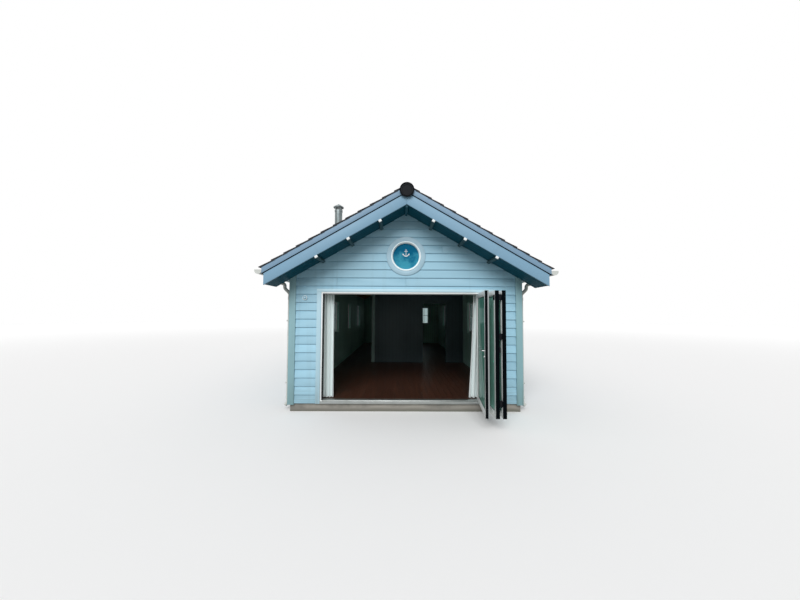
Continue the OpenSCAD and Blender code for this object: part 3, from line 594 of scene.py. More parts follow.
side_boards = wall_of_boards(side_in, SIDE_COURSES, side_joints)
saw(side_boards, [block((-8, -1, UNDER_ROOF), (8, 1, 4))])
tails = [FIRST_RAFTER + k * RAFTER_STEP for k in range(RAFTERS)]
saw(side_boards, [block((y - HALF_TAIL, -1, TAIL_UNDER), (y + HALF_TAIL, 1, 4)) for y in tails])
saw(side_boards, at_casings(SIDE_WINDOWS))
right_boards = join(side_boards)
left_boards = copy_at(right_boards, TO_LEFT @ MIRROR)
dress(placed(right_boards, TO_RIGHT), "right_weatherboards", side_paint, "cladding")
dress(left_boards, "left_weatherboards", side_paint, "cladding")
bpy.data.objects.remove(lap_board)

# %% [markdown]
# ## Corner boards, surround and casings
# Flat trim covers the boards' ends. The corner boards keep the CAD's shape with their
# edges eased. The door surround is three boards, the head laid across the two sides, and
# each window has the same round it, with a white sill that slopes and has a drip below.

# %% Trim on the sheathing
own_shape("corner_boards", 0.003, "corner_posts", corner_paint, "trim_paint")

SIDE_WIDE, HEAD_DEEP = 0.086, 0.056
(x0, y0, z0), (x1, y1, z1) = SURROUND
head_z = z1 - HEAD_DEEP
sides = [(x0, x0 + SIDE_WIDE), (x1 - SIDE_WIDE, x1)]
sides = [block((a, y0, z0), (b, y1, head_z - 0.001)) for a, b in sides]
dress(soften(join(sides), 0.004), "door_surround_sides", post_paint, "trim_paint")
head = soften(block((x0, y0, head_z), (x1, y1, z1)), 0.004)
dress(head, "door_surround_head", trim_paint, "trim_paint", "door_surround")

round_ring = mark_faces(from_cad("round_window_surround", 0.004), 0.9)
ring_paint = painted("ring_paint", rgb(158, 190, 206), "X", relief=0.0005, dirt=0)
dress(
    round_ring, "round_window_ring", ring_paint, "trim_paint", "round_window_surround", angle=60
)


def at_windows(make):
    """What one window has, made for each window at its width and set in its wall."""
    seats = [(width, place @ move(middle, 0, SILL_Z)) for middle, width, place in WINDOWS]
    return join(placed(piece, seat) for width, seat in seats for piece in make(width))


def casing_sides(width):
    for hand in (-1, 1):
        a, b = sorted((hand * (width / 2 + 0.001), hand * (width / 2 + CASING)))
        yield soften(block((a, -0.03, 0), (b, -0.0003, WINDOW_H)))


def casing_heads(width):
    half = width / 2 + CASING
    yield soften(block((-half, -0.03, WINDOW_H + 0.001), (half, -0.0003, WINDOW_H + CASING)))


def sills(width):
    """A sill slopes to its nose, and a groove under the nose stops the water."""
    half = width / 2 + CASING + SILL_EAR
    sill = block((-half, -0.06, -SILL_DEEP), (half, 0.03, -0.001))
    shift(sill, lambda place, way: place.z > -0.01 and place.y < -0.05, (0, 0, -0.010))
    groove = block((-half + 0.02, -0.048, -1), (half - 0.02, -0.040, 0.006 - SILL_DEEP))
    yield saw([soften(sill, 0.004)], [groove])[0]


dress(at_windows(casing_sides), "window_casing_sides", post_paint, "trim_paint")
dress(at_windows(casing_heads), "window_casing_heads", trim_paint, "trim_paint")
white_paint = painted("white_paint", rgb(226, 232, 232), "ALL", relief=0.0003, dirt=0.25)
dress(at_windows(sills), "window_sills", white_paint, "white_timber", "window_casings")

# %% [markdown]
# ## Rafters, soffit and verge boards
# The rafters run out past the side walls as short tails with white ends. At each gable
# the roof is carried out and boxed in, and lined below with narrow boards in a dark teal
# that is painted shade. Square timbers cross that soffit, white at their ends and dark
# teal behind, also painted shade, and the wide bargeboards close it, with a narrower
# board above them and a thin black edge of roofing felt between the two, whose black is
# also a painted shadow line.

# %% Timber on a slope
# The soffit's dark teal is painted shade: the paint is darkened to the shade under the verges.
SHADED_SOFFIT_TEAL = rgb(2, 72, 88)
barge_paint = painted("barge_paint", rgb(126, 166, 192), "SLOPE", dirt=0)
upper_paint = painted("upper_verge_paint", rgb(124, 156, 182), "SLOPE", dirt=0)
own_shape("bargeboards", 0.004, "verge_bargeboards", barge_paint, "verge_paint")
own_shape("verge_boards", 0.003, "verge_upper_boards", upper_paint, "verge_paint")

# %% Soffit boards in painted shade, and the felt edge, also a painted shadow line
# The same piece on both slopes of both gables, from the front right one
GABLES = [SAME, MIRROR, HALF_TURN, HALF_TURN @ MIRROR]
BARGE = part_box("bargeboards")
BARGE_BACK = BARGE[0].y + 0.028 + 0.001
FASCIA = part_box("verge_boards")[1].x
SOFFIT_BOARDS, RAFTER_DEEP = 5, 0.18
RAFTER_TOP = SOFFIT_TOP + RAFTER_DEEP / COS
ON_RAFTERS = move(0, 0, RAFTER_TOP) @ TO_SLOPE
board_w = ((FRONT - 0.001) - BARGE_BACK) / SOFFIT_BOARDS
low, high = (0.013, 0.0025, -0.008), (BARGE[1].x / COS - 0.006, board_w - 0.0025, 0.004)
soffit_board = placed(soften(block(low, high), 0.002, 1), move(0, 0, SOFFIT_TOP) @ TO_SLOPE)
places = [move(0, BARGE_BACK + k * board_w, 0) for k in range(SOFFIT_BOARDS)]
soffit = [copy_at(soffit_board, gable @ place) for place in places for gable in GABLES]
for board in soffit:
    mark_faces(board, chance.random())
bpy.data.objects.remove(soffit_board)
# The soffit boards' dark teal is painted shade, for the shade under the verge.
shaded_soffit_paint = painted("shaded_soffit_paint", SHADED_SOFFIT_TEAL, "SLOPE", dirt=0, marks=0, shine=0.1)
dress(join(soffit), "verge_soffit_boards", shaded_soffit_paint, "verge_paint")

# A black felt edge between the bargeboard and the upper board; its black is also a painted shadow
# line for the upper board's shadow.
low, high = (0.004, BARGE[0].y - 0.004, -0.014), (FASCIA / COS, BARGE[0].y + 0.004, 0.004)
felt_shadow_line = placed(block(low, high), ON_RAFTERS)
felt_shadow_line = repeat(soften(felt_shadow_line, 0.001, 1), GABLES)


def moulded(name, colour, gloss=0.4, grime=0.3, speck=0.04, shine=0.5, skin=0.15):
    """Moulded plastic or rubber: nearly even, with a fine skin, dust and scuffs."""
    f = Finish(name)
    dust, fine = f.noise(2.5, 6, 0.65).fade(0.45, 0.75) * grime, f.noise(220, 2)
    base = f.mix(fine * speck, f.mix(dust, colour, rgb(120, 120, 112)), WHITE)
    rough = gloss + dust * 0.4 + (fine - 0.5) * 0.1
    return f.done(base, rough, f.bump(fine, skin, 0.0004), Specular_IOR_Level=shine)


black_plastic = moulded("black_plastic", rgb(11, 14, 20), 0.5, 0.02, 0.002, 0.10, 0.08)
black_rubber = moulded("black_rubber", rgb(5, 9, 13), 0.75, 0.002, 0, 0.02, 0.04)
# The felt edge: black as felt, and black as a painted shadow line.
dress(felt_shadow_line, "felt_edge_painted_shadow", black_rubber, "black_plastic")


# %% Rafters, painted outside and bare inside
def rafter_finish():
    f = Finish("rafter_timber")
    across, along = f.axis("X").size(), f.axis("Y").size()
    f.place = down_the_slope(f)
    fibre, drift = f.noise(GRAIN["SLOPE"], 6, 0.6, 0.6), f.noise(1.5)
    bare = f.mix(fibre.fade(0.3, 0.75), rgb(176, 138, 92), rgb(205, 170, 124))
    paint = f.mix(drift, rgb(122, 164, 184), rgb(150, 190, 206))
    white = f.mix(drift, rgb(222, 228, 226), rgb(238, 240, 236))
    base = f.mix(across > HALF_W - 0.02, bare, paint)
    base = f.mix(across > TAILS[1].x - 0.004, base, white)
    # Past the end walls, under the verges, the rafters take the soffit's dark teal: painted shade.
    base = f.mix(along > REAR - 0.02, base, SHADED_SOFFIT_TEAL)
    return f.done(base, 0.5 + fibre * 0.12, f.bump(fibre, 0.5, 0.0008))


rafter_timber = rafter_finish()
for node in ("rafters_left", "rafters_right", "ridge_board"):
    own_shape(node, 0.003, "timber_" + node, rafter_timber, "raw_timber")


def bracket_finish():
    """Dark teal like the soffit, painted shade, with the ends that face out painted white."""
    f = Finish("bracket_shade_paint")
    fibre = f.noise(GRAIN["Y"], 5, 0.6)
    # The timbers' dark teal is painted shade, for the shade under the verge.
    shaded_teal = f.mix(fibre, rgb(36, 66, 74), rgb(58, 88, 94))
    white = f.mix(fibre, rgb(226, 232, 234), rgb(240, 244, 244))
    end = f.axis("Y").size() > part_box("gable_brackets")[1].y - 0.012
    bumps = f.bump(fibre, 0.4, 0.0006)
    return f.done(f.mix(end, shaded_teal, white), 0.5 + fibre * 0.1, bumps, Specular_IOR_Level=0.25)


own_shape("gable_brackets", 0.004, "soffit_brackets", bracket_finish(), "white_timber")

# %% [markdown]
# ## The tiled roof
# Flat interlocking tiles lie in twelve courses on each slope, each tile over the head of
# the one below and its neighbour's edge tongue. Alternate courses start with half a
# tile, so the joints break. One tile is shaped, with its side channel, and every copy
# carries a number of its own, from which its shade comes. Under them are the boards that
# are seen from below at the eaves.

# %% Shape one tile and lay both slopes
TILE_UNDER = RAFTER_TOP + 0.088 / COS
EAVES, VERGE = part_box("roof_right")[1].x / COS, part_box("roof_right")[1].y
COURSES, COLUMNS = 12, 41
GAUGE, TILE_W = EAVES / COURSES, 2 * VERGE / COLUMNS
TILE_T, TILE_L, CHANNEL = 0.015, GAUGE + 0.07, 0.026
TILT = 0.0012


def shape_tile(width):
    """A tile on its back: X runs down the slope from its head at 0, Y across it."""
    tile = block((0, 0.0012, 0), (TILE_L, width - 0.0012, TILE_T))
    bisect(tile, (0, CHANNEL, 0), (0, 1, 0), lambda place, way: way.z > 0.9)
    shift(tile, lambda place, way: way.z > 0.9 and place.y < CHANNEL, (0, 0, -0.0035), "FACE")
    return soften(tile, 0.0015, 1)


def lay_tiles():
    whole, half = shape_tile(TILE_W), shape_tile(TILE_W / 2)
    tip = atan2(TILE_T + 0.001, GAUGE)
    tiles = []
    for course in range(COURSES):
        tail, y = EAVES - (COURSES - 1 - course) * GAUGE, -VERGE
        while y < VERGE - 0.01:
            odd = course % 2 and (y < -VERGE + 0.01 or y > VERGE - TILE_W)
            lean = Matrix.Rotation(-tip + chance.uniform(-TILT, TILT), 4, "Y")
            seat = move(tail, y, TILE_T + 0.003) @ lean @ move(-TILE_L, 0, 0)
            tiles.append(mark_faces(copy_at(half if odd else whole, seat), chance.random()))
            y += TILE_W / 2 if odd else TILE_W
    for piece in (whole, half):
        bpy.data.objects.remove(piece)
    return tiles


def tile_finish():
    """Sanded concrete: grey-brown, each tile its own tone, with lichen and rain marks. The
    ends at the verges are nearly black, a dark verge edge that is partly painted shade.
    """
    f = Finish("tile_concrete")
    grit = f.noise(140, 3, 0.7)
    tone = f.mark("board") * 0.35 + f.noise(1.1, 5) * 0.35 + grit * 0.3
    base = f.mix(tone.fade(0.25, 0.75), rgb(104, 99, 97), rgb(134, 127, 122))
    base = f.mix(f.noise(6).fade(0.55, 0.75) * 0.3, base, rgb(140, 120, 106))
    spots = f.add("TexVoronoi", {"Vector": f.place, "Scale": 70}, "Distance")
    lichen = (f.noise(9, 8, 0.75) - spots * 0.45).fade(0.42, 0.52)
    base = f.mix(lichen * f.noise(1.3).fade(0.4, 0.6) * 0.4, base, rgb(160, 162, 146))
    # The tiles' ends at the verges are nearly black: a dark verge edge, and also painted shade
    # under the tiles' lips.
    base = f.mix(f.axis("Y").size() > VERGE - 0.003, base, rgb(40, 42, 48))
    return f.done(base, 0.82 + grit * 0.1, f.bump(grit, 0.6, 0.0012))


ON_TILES = move(0, 0, TILE_UNDER)
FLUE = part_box("flue_pipe")
FLUE_X, FLUE_Y = (FLUE[0].x + FLUE[1].x) / 2, (FLUE[0].y + FLUE[1].y) / 2
FLUE_LINE = ((FLUE_X, FLUE_Y, 2), (FLUE_X, FLUE_Y, 5))
tile_concrete = tile_finish()
tiles = lay_tiles()
left_tiles = [copy_at(tile, ON_TILES @ HALF_TURN @ TO_SLOPE) for tile in tiles]
right_tiles = placed(join(tiles), ON_TILES @ TO_SLOPE)
saw(left_tiles, [rod(*FLUE_LINE, 0.112, 48)])
dress(right_tiles, "roof_tiles_right", tile_concrete, "roof_tile")
dress(join(left_tiles), "roof_tiles_left", tile_concrete, "roof_tile")

# %% Boards under the tiles, and a core for the hidden layer
DECK_END = BARGE[1].y - 0.0065
DECK_BOARDS, DECK_RUN = 24, 3.6


def boards_along_y(pattern, start, stop, joint, run, place, gap):
    """One row of boards from start to stop, with a joint after every run."""
    ends = [start, *(joint + run * n for n in range(4)), stop]
    ends = [end for end in ends if start <= end <= stop]
    row = place @ rotate(90, "Z")
    return [cut_to_length(pattern, a + gap, b - gap, row) for a, b in zip(ends, ends[1:])]


def roof_deck():
    """Narrow boards across the rafters, and one core above them for all that is hidden."""
    thick, out = (TILE_UNDER - RAFTER_TOP) * COS, EAVES - 0.035 / COS
    boards = [block((0.001, -DECK_END, 0.021), (out, DECK_END, thick - 0.0005))]
    wide = out / DECK_BOARDS
    one = soften(block((0, 0.002, 0), (1, wide - 0.002, 0.0205)), 0.002, 1)
    for k in range(DECK_BOARDS):
        joint, place = -DECK_END + 1.2 + (k * 1.9) % DECK_RUN, move((k + 1) * wide, 0, 0)
        boards += boards_along_y(one, -DECK_END, DECK_END, joint, DECK_RUN, place, 0.001)
    bpy.data.objects.remove(one)
    boards = [placed(board, ON_RAFTERS) for board in boards]
    return saw(boards, [block((FASCIA, -9, 0), (FASCIA + 1, 9, 5))])


deck_paint = painted("deck_paint", rgb(138, 178, 196), "Y", dirt=0)
deck = roof_deck()
left_deck = [copy_at(board, HALF_TURN) for board in deck]
saw(left_deck, [rod(*FLUE_LINE, 0.102, 48)])
for hand, boards in (("right", deck), ("left", left_deck)):
    dress(join(boards), "roof_deck_" + hand, deck_paint, "trim_paint", "roof_" + hand)

# %% [markdown]
# ## The ridge
# Half-round tiles cover the ridge. A black union stands over each joint, and a round
# black plate closes each end. Such shapes are made from an outline: one drawn out along
# the hut with the extrude operator, or one spun round an axis, as on a lathe.


# %% Outlines drawn out and spun
def from_outline(corners, edges=(), faces=()):
    mesh = bpy.data.meshes.new("outline")
    mesh.from_pydata(corners, edges, faces)
    piece = bpy.data.objects.new("outline", mesh)
    bpy.context.scene.collection.objects.link(piece)
    return piece


def turn_outwards(piece):
    """In edit mode: merge what doubles up, and point every face outwards."""
    bpy.ops.mesh.select_all(action="SELECT")
    bpy.ops.mesh.remove_doubles(threshold=0.00001)
    bpy.ops.mesh.normals_make_consistent(inside=False)
    leave_edit()
    return piece


def prism(outline, start, stop):
    """An outline in X and Z, drawn out along Y."""
    corners = [(x, start, z) for x, z in outline]
    piece = from_outline(corners, faces=[list(range(len(corners)))])
    pick(piece)
    bpy.ops.mesh.extrude_region_move(TRANSFORM_OT_translate={"value": (0, stop - start, 0)})
    return turn_outwards(piece)


def turned(profile, sides=48, ring=False):
    """A profile of (radius, height) pairs spun round Z. A ring's profile is closed."""
    last = len(profile) - 1
    edges = [(k, k + 1) for k in range(last)] + ([(last, 0)] if ring else [])
    piece = from_outline([(radius, 0, height) for radius, height in profile], edges)
    pick(piece, kind="VERT")
    bpy.ops.mesh.spin(steps=sides, angle=tau, center=(0, 0, 0), axis=(0, 0, 1))
    return turn_outwards(piece)


def about(radius, height, *steps):
    """A profile given by how far each corner is from one point."""
    return [(radius + r, height + h) for r, h in steps]


def arc(radius, start, stop, steps, middle=(0, 0)):
    """Points on an arc, by angle from straight up, clockwise."""
    angles = [radians(start + (stop - start) * k / steps) for k in range(steps + 1)]
    return [(middle[0] + radius * sin(a), middle[1] + radius * cos(a)) for a in angles]


# %% Ridge tiles, their unions and end plates
PEAK = TILE_UNDER + 0.025 / COS
RIDGE_Z, RIDGE_TILES = PEAK - 0.106, 27
RIDGE_L = 2 * VERGE / RIDGE_TILES


def half_round(radius, thick, spread, start, stop):
    outline = arc(radius, -spread, spread, 28) + arc(radius - thick, spread, -spread, 28)
    return prism(outline, start, stop)


def clouded(name, cloud, one, other, rough, relief, **others):
    """Two tones in clouds over a fine relief: for concrete and lead."""
    f = Finish(name)
    (*noise, low, high), (*grain, strength, depth) = cloud, relief
    base = f.mix(f.noise(*noise).fade(low, high), one, other)
    return f.done(base, rough, f.bump(f.noise(*grain), strength, depth), **others)


ridge_tile = soften(half_round(0.127, 0.015, 79, 0.002, RIDGE_L - 0.002), 0.002, 1)
union = [half_round(0.134, 0.008, 80, -0.026, 0.026), half_round(0.138, 0.006, 78, -0.006, 0.006)]
union = soften(join(union), 0.0015, 1)
places = [move(0, -VERGE + k * RIDGE_L, RIDGE_Z) for k in range(RIDGE_TILES)]
tones = rgb(88, 84, 84), rgb(122, 114, 110)
grit = (140, 3, 0.7, 0.6, 0.0012)
ridge_concrete = clouded("ridge_concrete", (1.7, 6, 0.5, 0.3, 0.7), *tones, 0.85, grit)
ridge = repeat(ridge_tile, places)
dress(ridge, "ridge_half_rounds", ridge_concrete, "roof_tile", "ridge_tiles")
dress(repeat(union, places[1:]), "ridge_unions", black_plastic, "black_plastic")

plate = [(0, 0.004), (0.084, 0.004), (0.088, 0.011), (0.106, 0.011), (0.110, 0.004)]
plate += [(0.114, 0.004), (0.118, 0.0165), (0.124, 0.0205), (0.1295, 0.0165), (0.13, 0.010)]
plate += [(0.13, -0.0045), (0, -0.0045)]
cap = placed(turned(plate, 64), move(0, -VERGE - 0.0045, RIDGE_Z) @ rotate(90, "X"))
caps = repeat(cap, [SAME, HALF_TURN])
dress(caps, "ridge_end_plates", black_plastic, "black_plastic", "ridge_end_caps")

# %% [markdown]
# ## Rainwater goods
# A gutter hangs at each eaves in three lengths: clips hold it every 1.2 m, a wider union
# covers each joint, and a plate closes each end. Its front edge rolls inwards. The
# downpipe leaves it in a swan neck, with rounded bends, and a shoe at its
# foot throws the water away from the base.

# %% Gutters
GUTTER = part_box("gutter_right")
GUTTER_R, GUTTER_X = (GUTTER[1].x - GUTTER[0].x) / 2, (GUTTER[0].x + GUTTER[1].x) / 2
GUTTER_Z, GUTTER_END = GUTTER[0].z + GUTTER_R, GUTTER[1].y
RIM = GUTTER[1].z - GUTTER_Z
SHEET = 0.003


def trough(radius, top, lip=0.0):
    """A gutter's section: a round bottom and upright sides, its front edge rolled in."""
    outer = [(-radius, top), *arc(radius, 270, 90, 24), (radius, top)]
    inner = radius - SHEET
    lips = [(inner, top)]
    if lip:
        lips = [(radius - lip, top), (radius - lip, top - SHEET), (inner, top - SHEET)]
    return outer + lips + arc(inner, 90, 270, 24) + [(-inner, top)]


def gutter_parts():
    section = trough(GUTTER_R - SHEET, RIM - 0.001, 0.010)
    yield soften(prism(section, 0.002 - GUTTER_END, GUTTER_END - 0.002), 0.0008, 1)
    bands = [(y, 0.045) for y in (-2.05, 2.05)]
    bands += [(FIRST_RAFTER + k * RAFTER_STEP, 0.014) for k in range(0, RAFTERS, 2)]
    for y, half in bands:
        yield soften(prism(trough(GUTTER_R, RIM), y - half, y + half), 0.0006, 1)
    full = [(-GUTTER_R, RIM), *arc(GUTTER_R, 270, 90, 24), (GUTTER_R, RIM)]
    for y in (-GUTTER_END, GUTTER_END - 0.004):
        yield soften(prism(full, y, y + 0.004), 0.001, 1)


gutters = placed(join(gutter_parts()), move(GUTTER_X, 0, GUTTER_Z))
rainwater = moulded("gutter_plastic", rgb(196, 200, 196), 0.42, 0.45)
for hand, piece in (("right", gutters), ("left", copy_at(gutters, HALF_TURN))):
    dress(piece, "gutter_run_" + hand, rainwater, "gutter_plastic", "gutter_" + hand)


# %% Downpipes
def rounded_path(points, radius, steps=6):
    """The same path with every corner turned on an arc of at most that radius."""
    points = [Vector(p) for p in points]
    path = [points[0]]
    for before, corner, after in zip(points, points[1:], points[2:]):
        to_a, to_b = before - corner, after - corner
        a, b = to_a.normalized(), to_b.normalized()
        reach = min(radius / tan(a.angle(b) / 2), to_a.length * 0.48, to_b.length * 0.48)
        one, two = corner + a * reach, corner + b * reach
        for k in range(steps + 1):
            t = k / steps
            path.append(one * (1 - t) ** 2 + corner * 2 * t * (1 - t) + two * t * t)
    return path + [points[-1]]


def tube(path, radius, sides=5):
    """A round tube along a path, made as a curve and turned into a mesh."""
    line = bpy.data.curves.new("tube", "CURVE")
    line.dimensions = "3D"
    line.bevel_depth, line.bevel_resolution = radius, sides
    line.use_fill_caps = True
    spline = line.splines.new("POLY")
    spline.points.add(len(path) - 1)
    for point, place in zip(spline.points, path):
        point.co = (*place, 1)
    piece = bpy.data.objects.new("tube", line)
    bpy.context.scene.collection.objects.link(piece)
    only(piece)
    bpy.ops.object.convert(target="MESH")
    return bpy.context.object


PIPE_R, PIPE_X = 0.034, HALF_W + 0.069
PIPE_Y = FIRST_RAFTER - 0.045 - PIPE_R


def downpipe():
    """A pipe, its sockets, and two straps whose ears a bolt draws together."""
    top, bend = GUTTER[0].z - 0.0003, (PIPE_X + GUTTER_X) / 2 - 0.06
    path = [(GUTTER_X, top), (GUTTER_X, top - 0.045), (bend, top - 0.115), (bend, top - 0.195)]
    path += [(PIPE_X, top - 0.30), (PIPE_X, 0.16), (PIPE_X + 0.045, 0.085)]
    yield tube(rounded_path([(x, PIPE_Y, z) for x, z in path], 0.07), PIPE_R - 0.0015, 6)
    socket = [(0, 0), (0.0035, 0.003), (0.0035, 0.056), (0.001, 0.06), (-0.003, 0.06), (-0.003, 0)]
    socket = about(PIPE_R, 0, *socket)
    outlet = [(0.03, 0), (0.044, 0), (0.044, 0.012), (0.038, 0.018), (0.03, 0.018)]
    strap = about(PIPE_R, 0, (0, 0), (0.004, 0), (0.004, 0.03), (0, 0.03))
    straps = (FLOOR_Z + 0.3, FLOOR_Z + 1.5)
    rings = [(PIPE_X, top - 0.42, socket), (PIPE_X, 0.21, socket), (GUTTER_X, top - 0.018, outlet)]
    for x, z, profile in rings + [(PIPE_X, z, strap) for z in straps]:
        yield placed(turned(profile, 32, ring=True), move(x, PIPE_Y, z))
    x, wall = PIPE_X + 0.036, HALF_W + 0.0005
    for z in straps:
        yield soften(block((wall, PIPE_Y - 0.02, z), (PIPE_X - 0.03, PIPE_Y + 0.02, z + 0.03)))
        for y in (PIPE_Y - 0.009, PIPE_Y + 0.003):
            yield soften(block((x, y, z + 0.002), (x + 0.018, y + 0.006, z + 0.028)), 0.002)
        bolt = [(x + 0.011, PIPE_Y + y, z + 0.015) for y in (-0.014, 0.014)]
        yield rod(*bolt, 0.004, 6)


pipe = join(downpipe())
pipes = join([pipe, copy_at(pipe, MIRROR)])
dress(pipes, "swan_neck_downpipes", rainwater, "gutter_plastic", "downpipes")

# %% [markdown]
# ## The flue
# A twin-wall steel flue comes through the left slope. Locking bands join its lengths, a
# shallow cone on four legs keeps the rain out, and a lead skirt is dressed down over the
# tiles with a cone round the pipe.

# %% Flue pipe, cowl and lead flashing
FLUE_R, FLUE_TOP = (FLUE[1].x - FLUE[0].x) / 2 - 0.004, FLUE[1].z
AT_FLUE = move(FLUE_X, FLUE_Y, 0)
profile = about(FLUE_R, FLUE[0].z, (-0.025, 0), (-0.0015, 0))
for z in (FLUE_TOP - 1.022, FLUE_TOP - 0.522):
    profile += about(FLUE_R, z, (-0.0015, 0), (0.004, 0.004), (0.004, 0.04), (-0.0015, 0.044))
profile += about(FLUE_R, FLUE_TOP, (-0.0015, 0), (-0.025, 0))
flue_tube = placed(turned(profile, 64, ring=True), AT_FLUE)


def steel_finish():
    """Stainless sheet: fine rings round the pipe, cloudy with weather, with upright brown streaks.
    """
    f = Finish("flue_steel")
    rings, cloud = f.noise((4, 4, 260)), f.noise(4, 6, 0.65)
    base = f.mix(cloud.fade(0.3, 0.75), rgb(140, 150, 152), rgb(102, 112, 114))
    base = f.mix(f.noise((26, 26, 1.2), 4).fade(0.5, 0.75) * 0.4, base, rgb(92, 88, 80))
    rough = 0.3 + cloud * 0.2 + rings * 0.1
    return f.done(base, rough, f.bump(rings, 0.25, 0.0006), Metallic=0.85)


flue_steel = steel_finish()
dress(flue_tube, "flue_twin_wall", flue_steel, "flue_steel", "flue_pipe")

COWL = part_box("flue_cowl")
COWL_R, COWL_TOP = (COWL[1].x - COWL[0].x) / 2, COWL[1].z
hat_z = FLUE_TOP + 0.064
hat = [(0, hat_z + 0.004)]
hat += about(COWL_R, hat_z, (-0.012, 0.004), (-0.010, 0), (-0.003, 0), (0, 0.004), (0, 0.018))
hat += [(COWL_R - 0.004, hat_z + 0.022), (COWL_R * 0.55, hat_z + 0.062)]
hat += [(0.026, COWL_TOP - 0.008), (0.018, COWL_TOP - 0.001), (0, COWL_TOP)]
collar = [(0.0005, -0.045), (0.008, -0.045), (0.006, -0.040)]
collar += [(0.006, -0.006), (0.008, 0), (0.0005, 0)]
low, high = (FLUE_R + 0.001, -0.012, FLUE_TOP - 0.03), (FLUE_R + 0.004, 0.012, hat_z + 0.006)
cowl = [turned(hat, 64), turned(about(FLUE_R, FLUE_TOP, *collar), 64, ring=True)]
leg = soften(block(low, high), 0.001, 1)
stud = [(FLUE_R + x, 0, FLUE_TOP - 0.02) for x in (0.004, 0.009)]
leg = join([leg, rod(*stud, 0.004, 12, 0.002)])
cowl.append(repeat(leg, [rotate(angle, "Z") for angle in (45, 135, 225, 315)]))
dress(placed(join(cowl), AT_FLUE), "flue_rain_cowl", flue_steel, "flue_steel", "flue_cowl")


def lead_skirt(wide=0.5):
    """A sheet of lead laid over the steps of the tiles, and pressed into them."""
    bpy.ops.object.select_all(action="DESELECT")
    bpy.ops.mesh.primitive_grid_add(x_subdivisions=48, y_subdivisions=24, size=1)
    skirt = apply_place(bpy.context.object)
    along = -FLUE_X / COS
    for corner in skirt.data.vertices:
        s, y = corner.co.x * wide, corner.co.y * wide
        rise = 0.0235 + (1 - ((EAVES - along - s) / GAUGE) % 1) * 0.0145
        press = 0.0012 * sin(s * 61 + y * 17) * cos(y * 43 - s * 11)
        corner.co = (along + s, y, rise + press)
    modify(skirt, "SMOOTH", factor=0.5, iterations=2)
    modify(skirt, "SOLIDIFY", thickness=0.003, offset=1)
    return placed(skirt, move(0, FLUE_Y, TILE_UNDER) @ HALF_TURN @ TO_SLOPE)


cone = [(0.066, -0.12), (0.058, 0.02), (0.010, 0.205), (0.012, 0.215), (0.012, 0.229)]
cone += [(0.003, 0.229), (0.003, 0.205), (0.050, 0.02), (0.058, -0.12)]
cone = placed(turned(about(FLUE_R, PEAK + FLUE_X * SLOPE, *cone), 64, ring=True), AT_FLUE)
tones, dents = (rgb(104, 110, 116), rgb(158, 164, 166)), (28, 4, 0.5, 0.002)
lead = clouded("dressed_lead", (9, 6, 0.65, 0.35, 0.7), *tones, 0.62, dents, Metallic=0.35)
dress(join([lead_skirt(), cone]), "lead_flashing", lead, "lead", "flue_flashing")

# %% [markdown]
# ## The folding doors
# The whole front opens. Three tall glazed leaves are folded like a screen against the
# right-hand jamb, edge on to the room. Each leaf is two stiles and two rails with sealed
# glazing held by beads, and its meeting edge is faced with black weather seal. Black
# hinges join the leaves at three heights. A leaf is drawn lying flat, X along its width,
# and one matrix then stands it where it is folded.


# %% Bars and frames
def bar(low, high, ease=0.003, rounds=2):
    return soften(block(low, high), ease, rounds)


def thin(low, high, ease=0.001):
    """A small bar, its edges taken off with one flat."""
    return bar(low, high, ease, 1)


def four_bars(low, high, stiles, rail, ease=0.003, rounds=2):
    """A frame in X and Z: two stiles from top to bottom, and two rails between them."""
    (x0, y0, z0), (x1, y1, z1) = low, high
    left, right = stiles if isinstance(stiles, tuple) else (stiles, stiles)
    a, b = x0 + left, x1 - right
    ends = [((x0, z0), (a, z1)), ((b, z0), (x1, z1)), ((a, z0), (b, z0 + rail))]
    ends.append(((a, z1 - rail), (b, z1)))
    return [bar((x, y0, z), (far, y1, top), ease, rounds) for (x, z), (far, top) in ends]


# %% The door frame and its seals
(_, FRAME_Y0, _), (JAMB, FRAME_Y1, HEAD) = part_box("door_frame")
DOOR_FACE = 0.045
INNER, UNDER_HEAD = JAMB - DOOR_FACE, HEAD - DOOR_FACE
REBATE_Y, REBATE_Z = FRAME_Y0 + 0.059, HEAD - DOOR_FACE + 0.014
frame_parts = [
    bar((-JAMB, FRAME_Y0, FLOOR_Z), (-INNER, FRAME_Y1, REBATE_Z)),
    bar((INNER, FRAME_Y0, FLOOR_Z), (JAMB, FRAME_Y1, REBATE_Z)),
    bar((-JAMB, FRAME_Y0, REBATE_Z), (JAMB, FRAME_Y1, HEAD)),
    bar((-INNER, REBATE_Y, UNDER_HEAD), (INNER, FRAME_Y1, REBATE_Z)),
]
white_frame = moulded("white_frame", rgb(236, 240, 240), 0.35, 0.07)
dress(join(frame_parts), "door_frame_white", white_frame, "white_frame", "door_frame")


def door_seals():
    """Ribbed rubber in both jambs, a lip in front of them, and two strips in the head."""
    foot, top = FLOOR_Z + 0.017, HEAD - 0.047
    for x in (-INNER, INNER):
        a, b = sorted((x, x - copysign(0.0024, x)))
        yield thin((a, FRAME_Y0 + 0.008, foot), (b, FRAME_Y1 - 0.008, top), 0.0008)
        for y in (FRAME_Y0 + 0.014, FRAME_Y0 + 0.040, FRAME_Y1 - 0.014):
            yield rod((x, y, foot), (x, y, top), 0.0028, 8)
        a, b = sorted((x, x + copysign(0.018, x)))
        yield thin((a, FRAME_Y0 - 0.0016, foot), (b, FRAME_Y0 + 0.001, REBATE_Z), 0.0008)
    for y, z in ((FRAME_Y0 + 0.008, REBATE_Z), (REBATE_Y + 0.001, UNDER_HEAD)):
        yield thin((0.003 - INNER, y, z - 0.0022), (INNER - 0.003, y + 0.019, z), 0.0008)


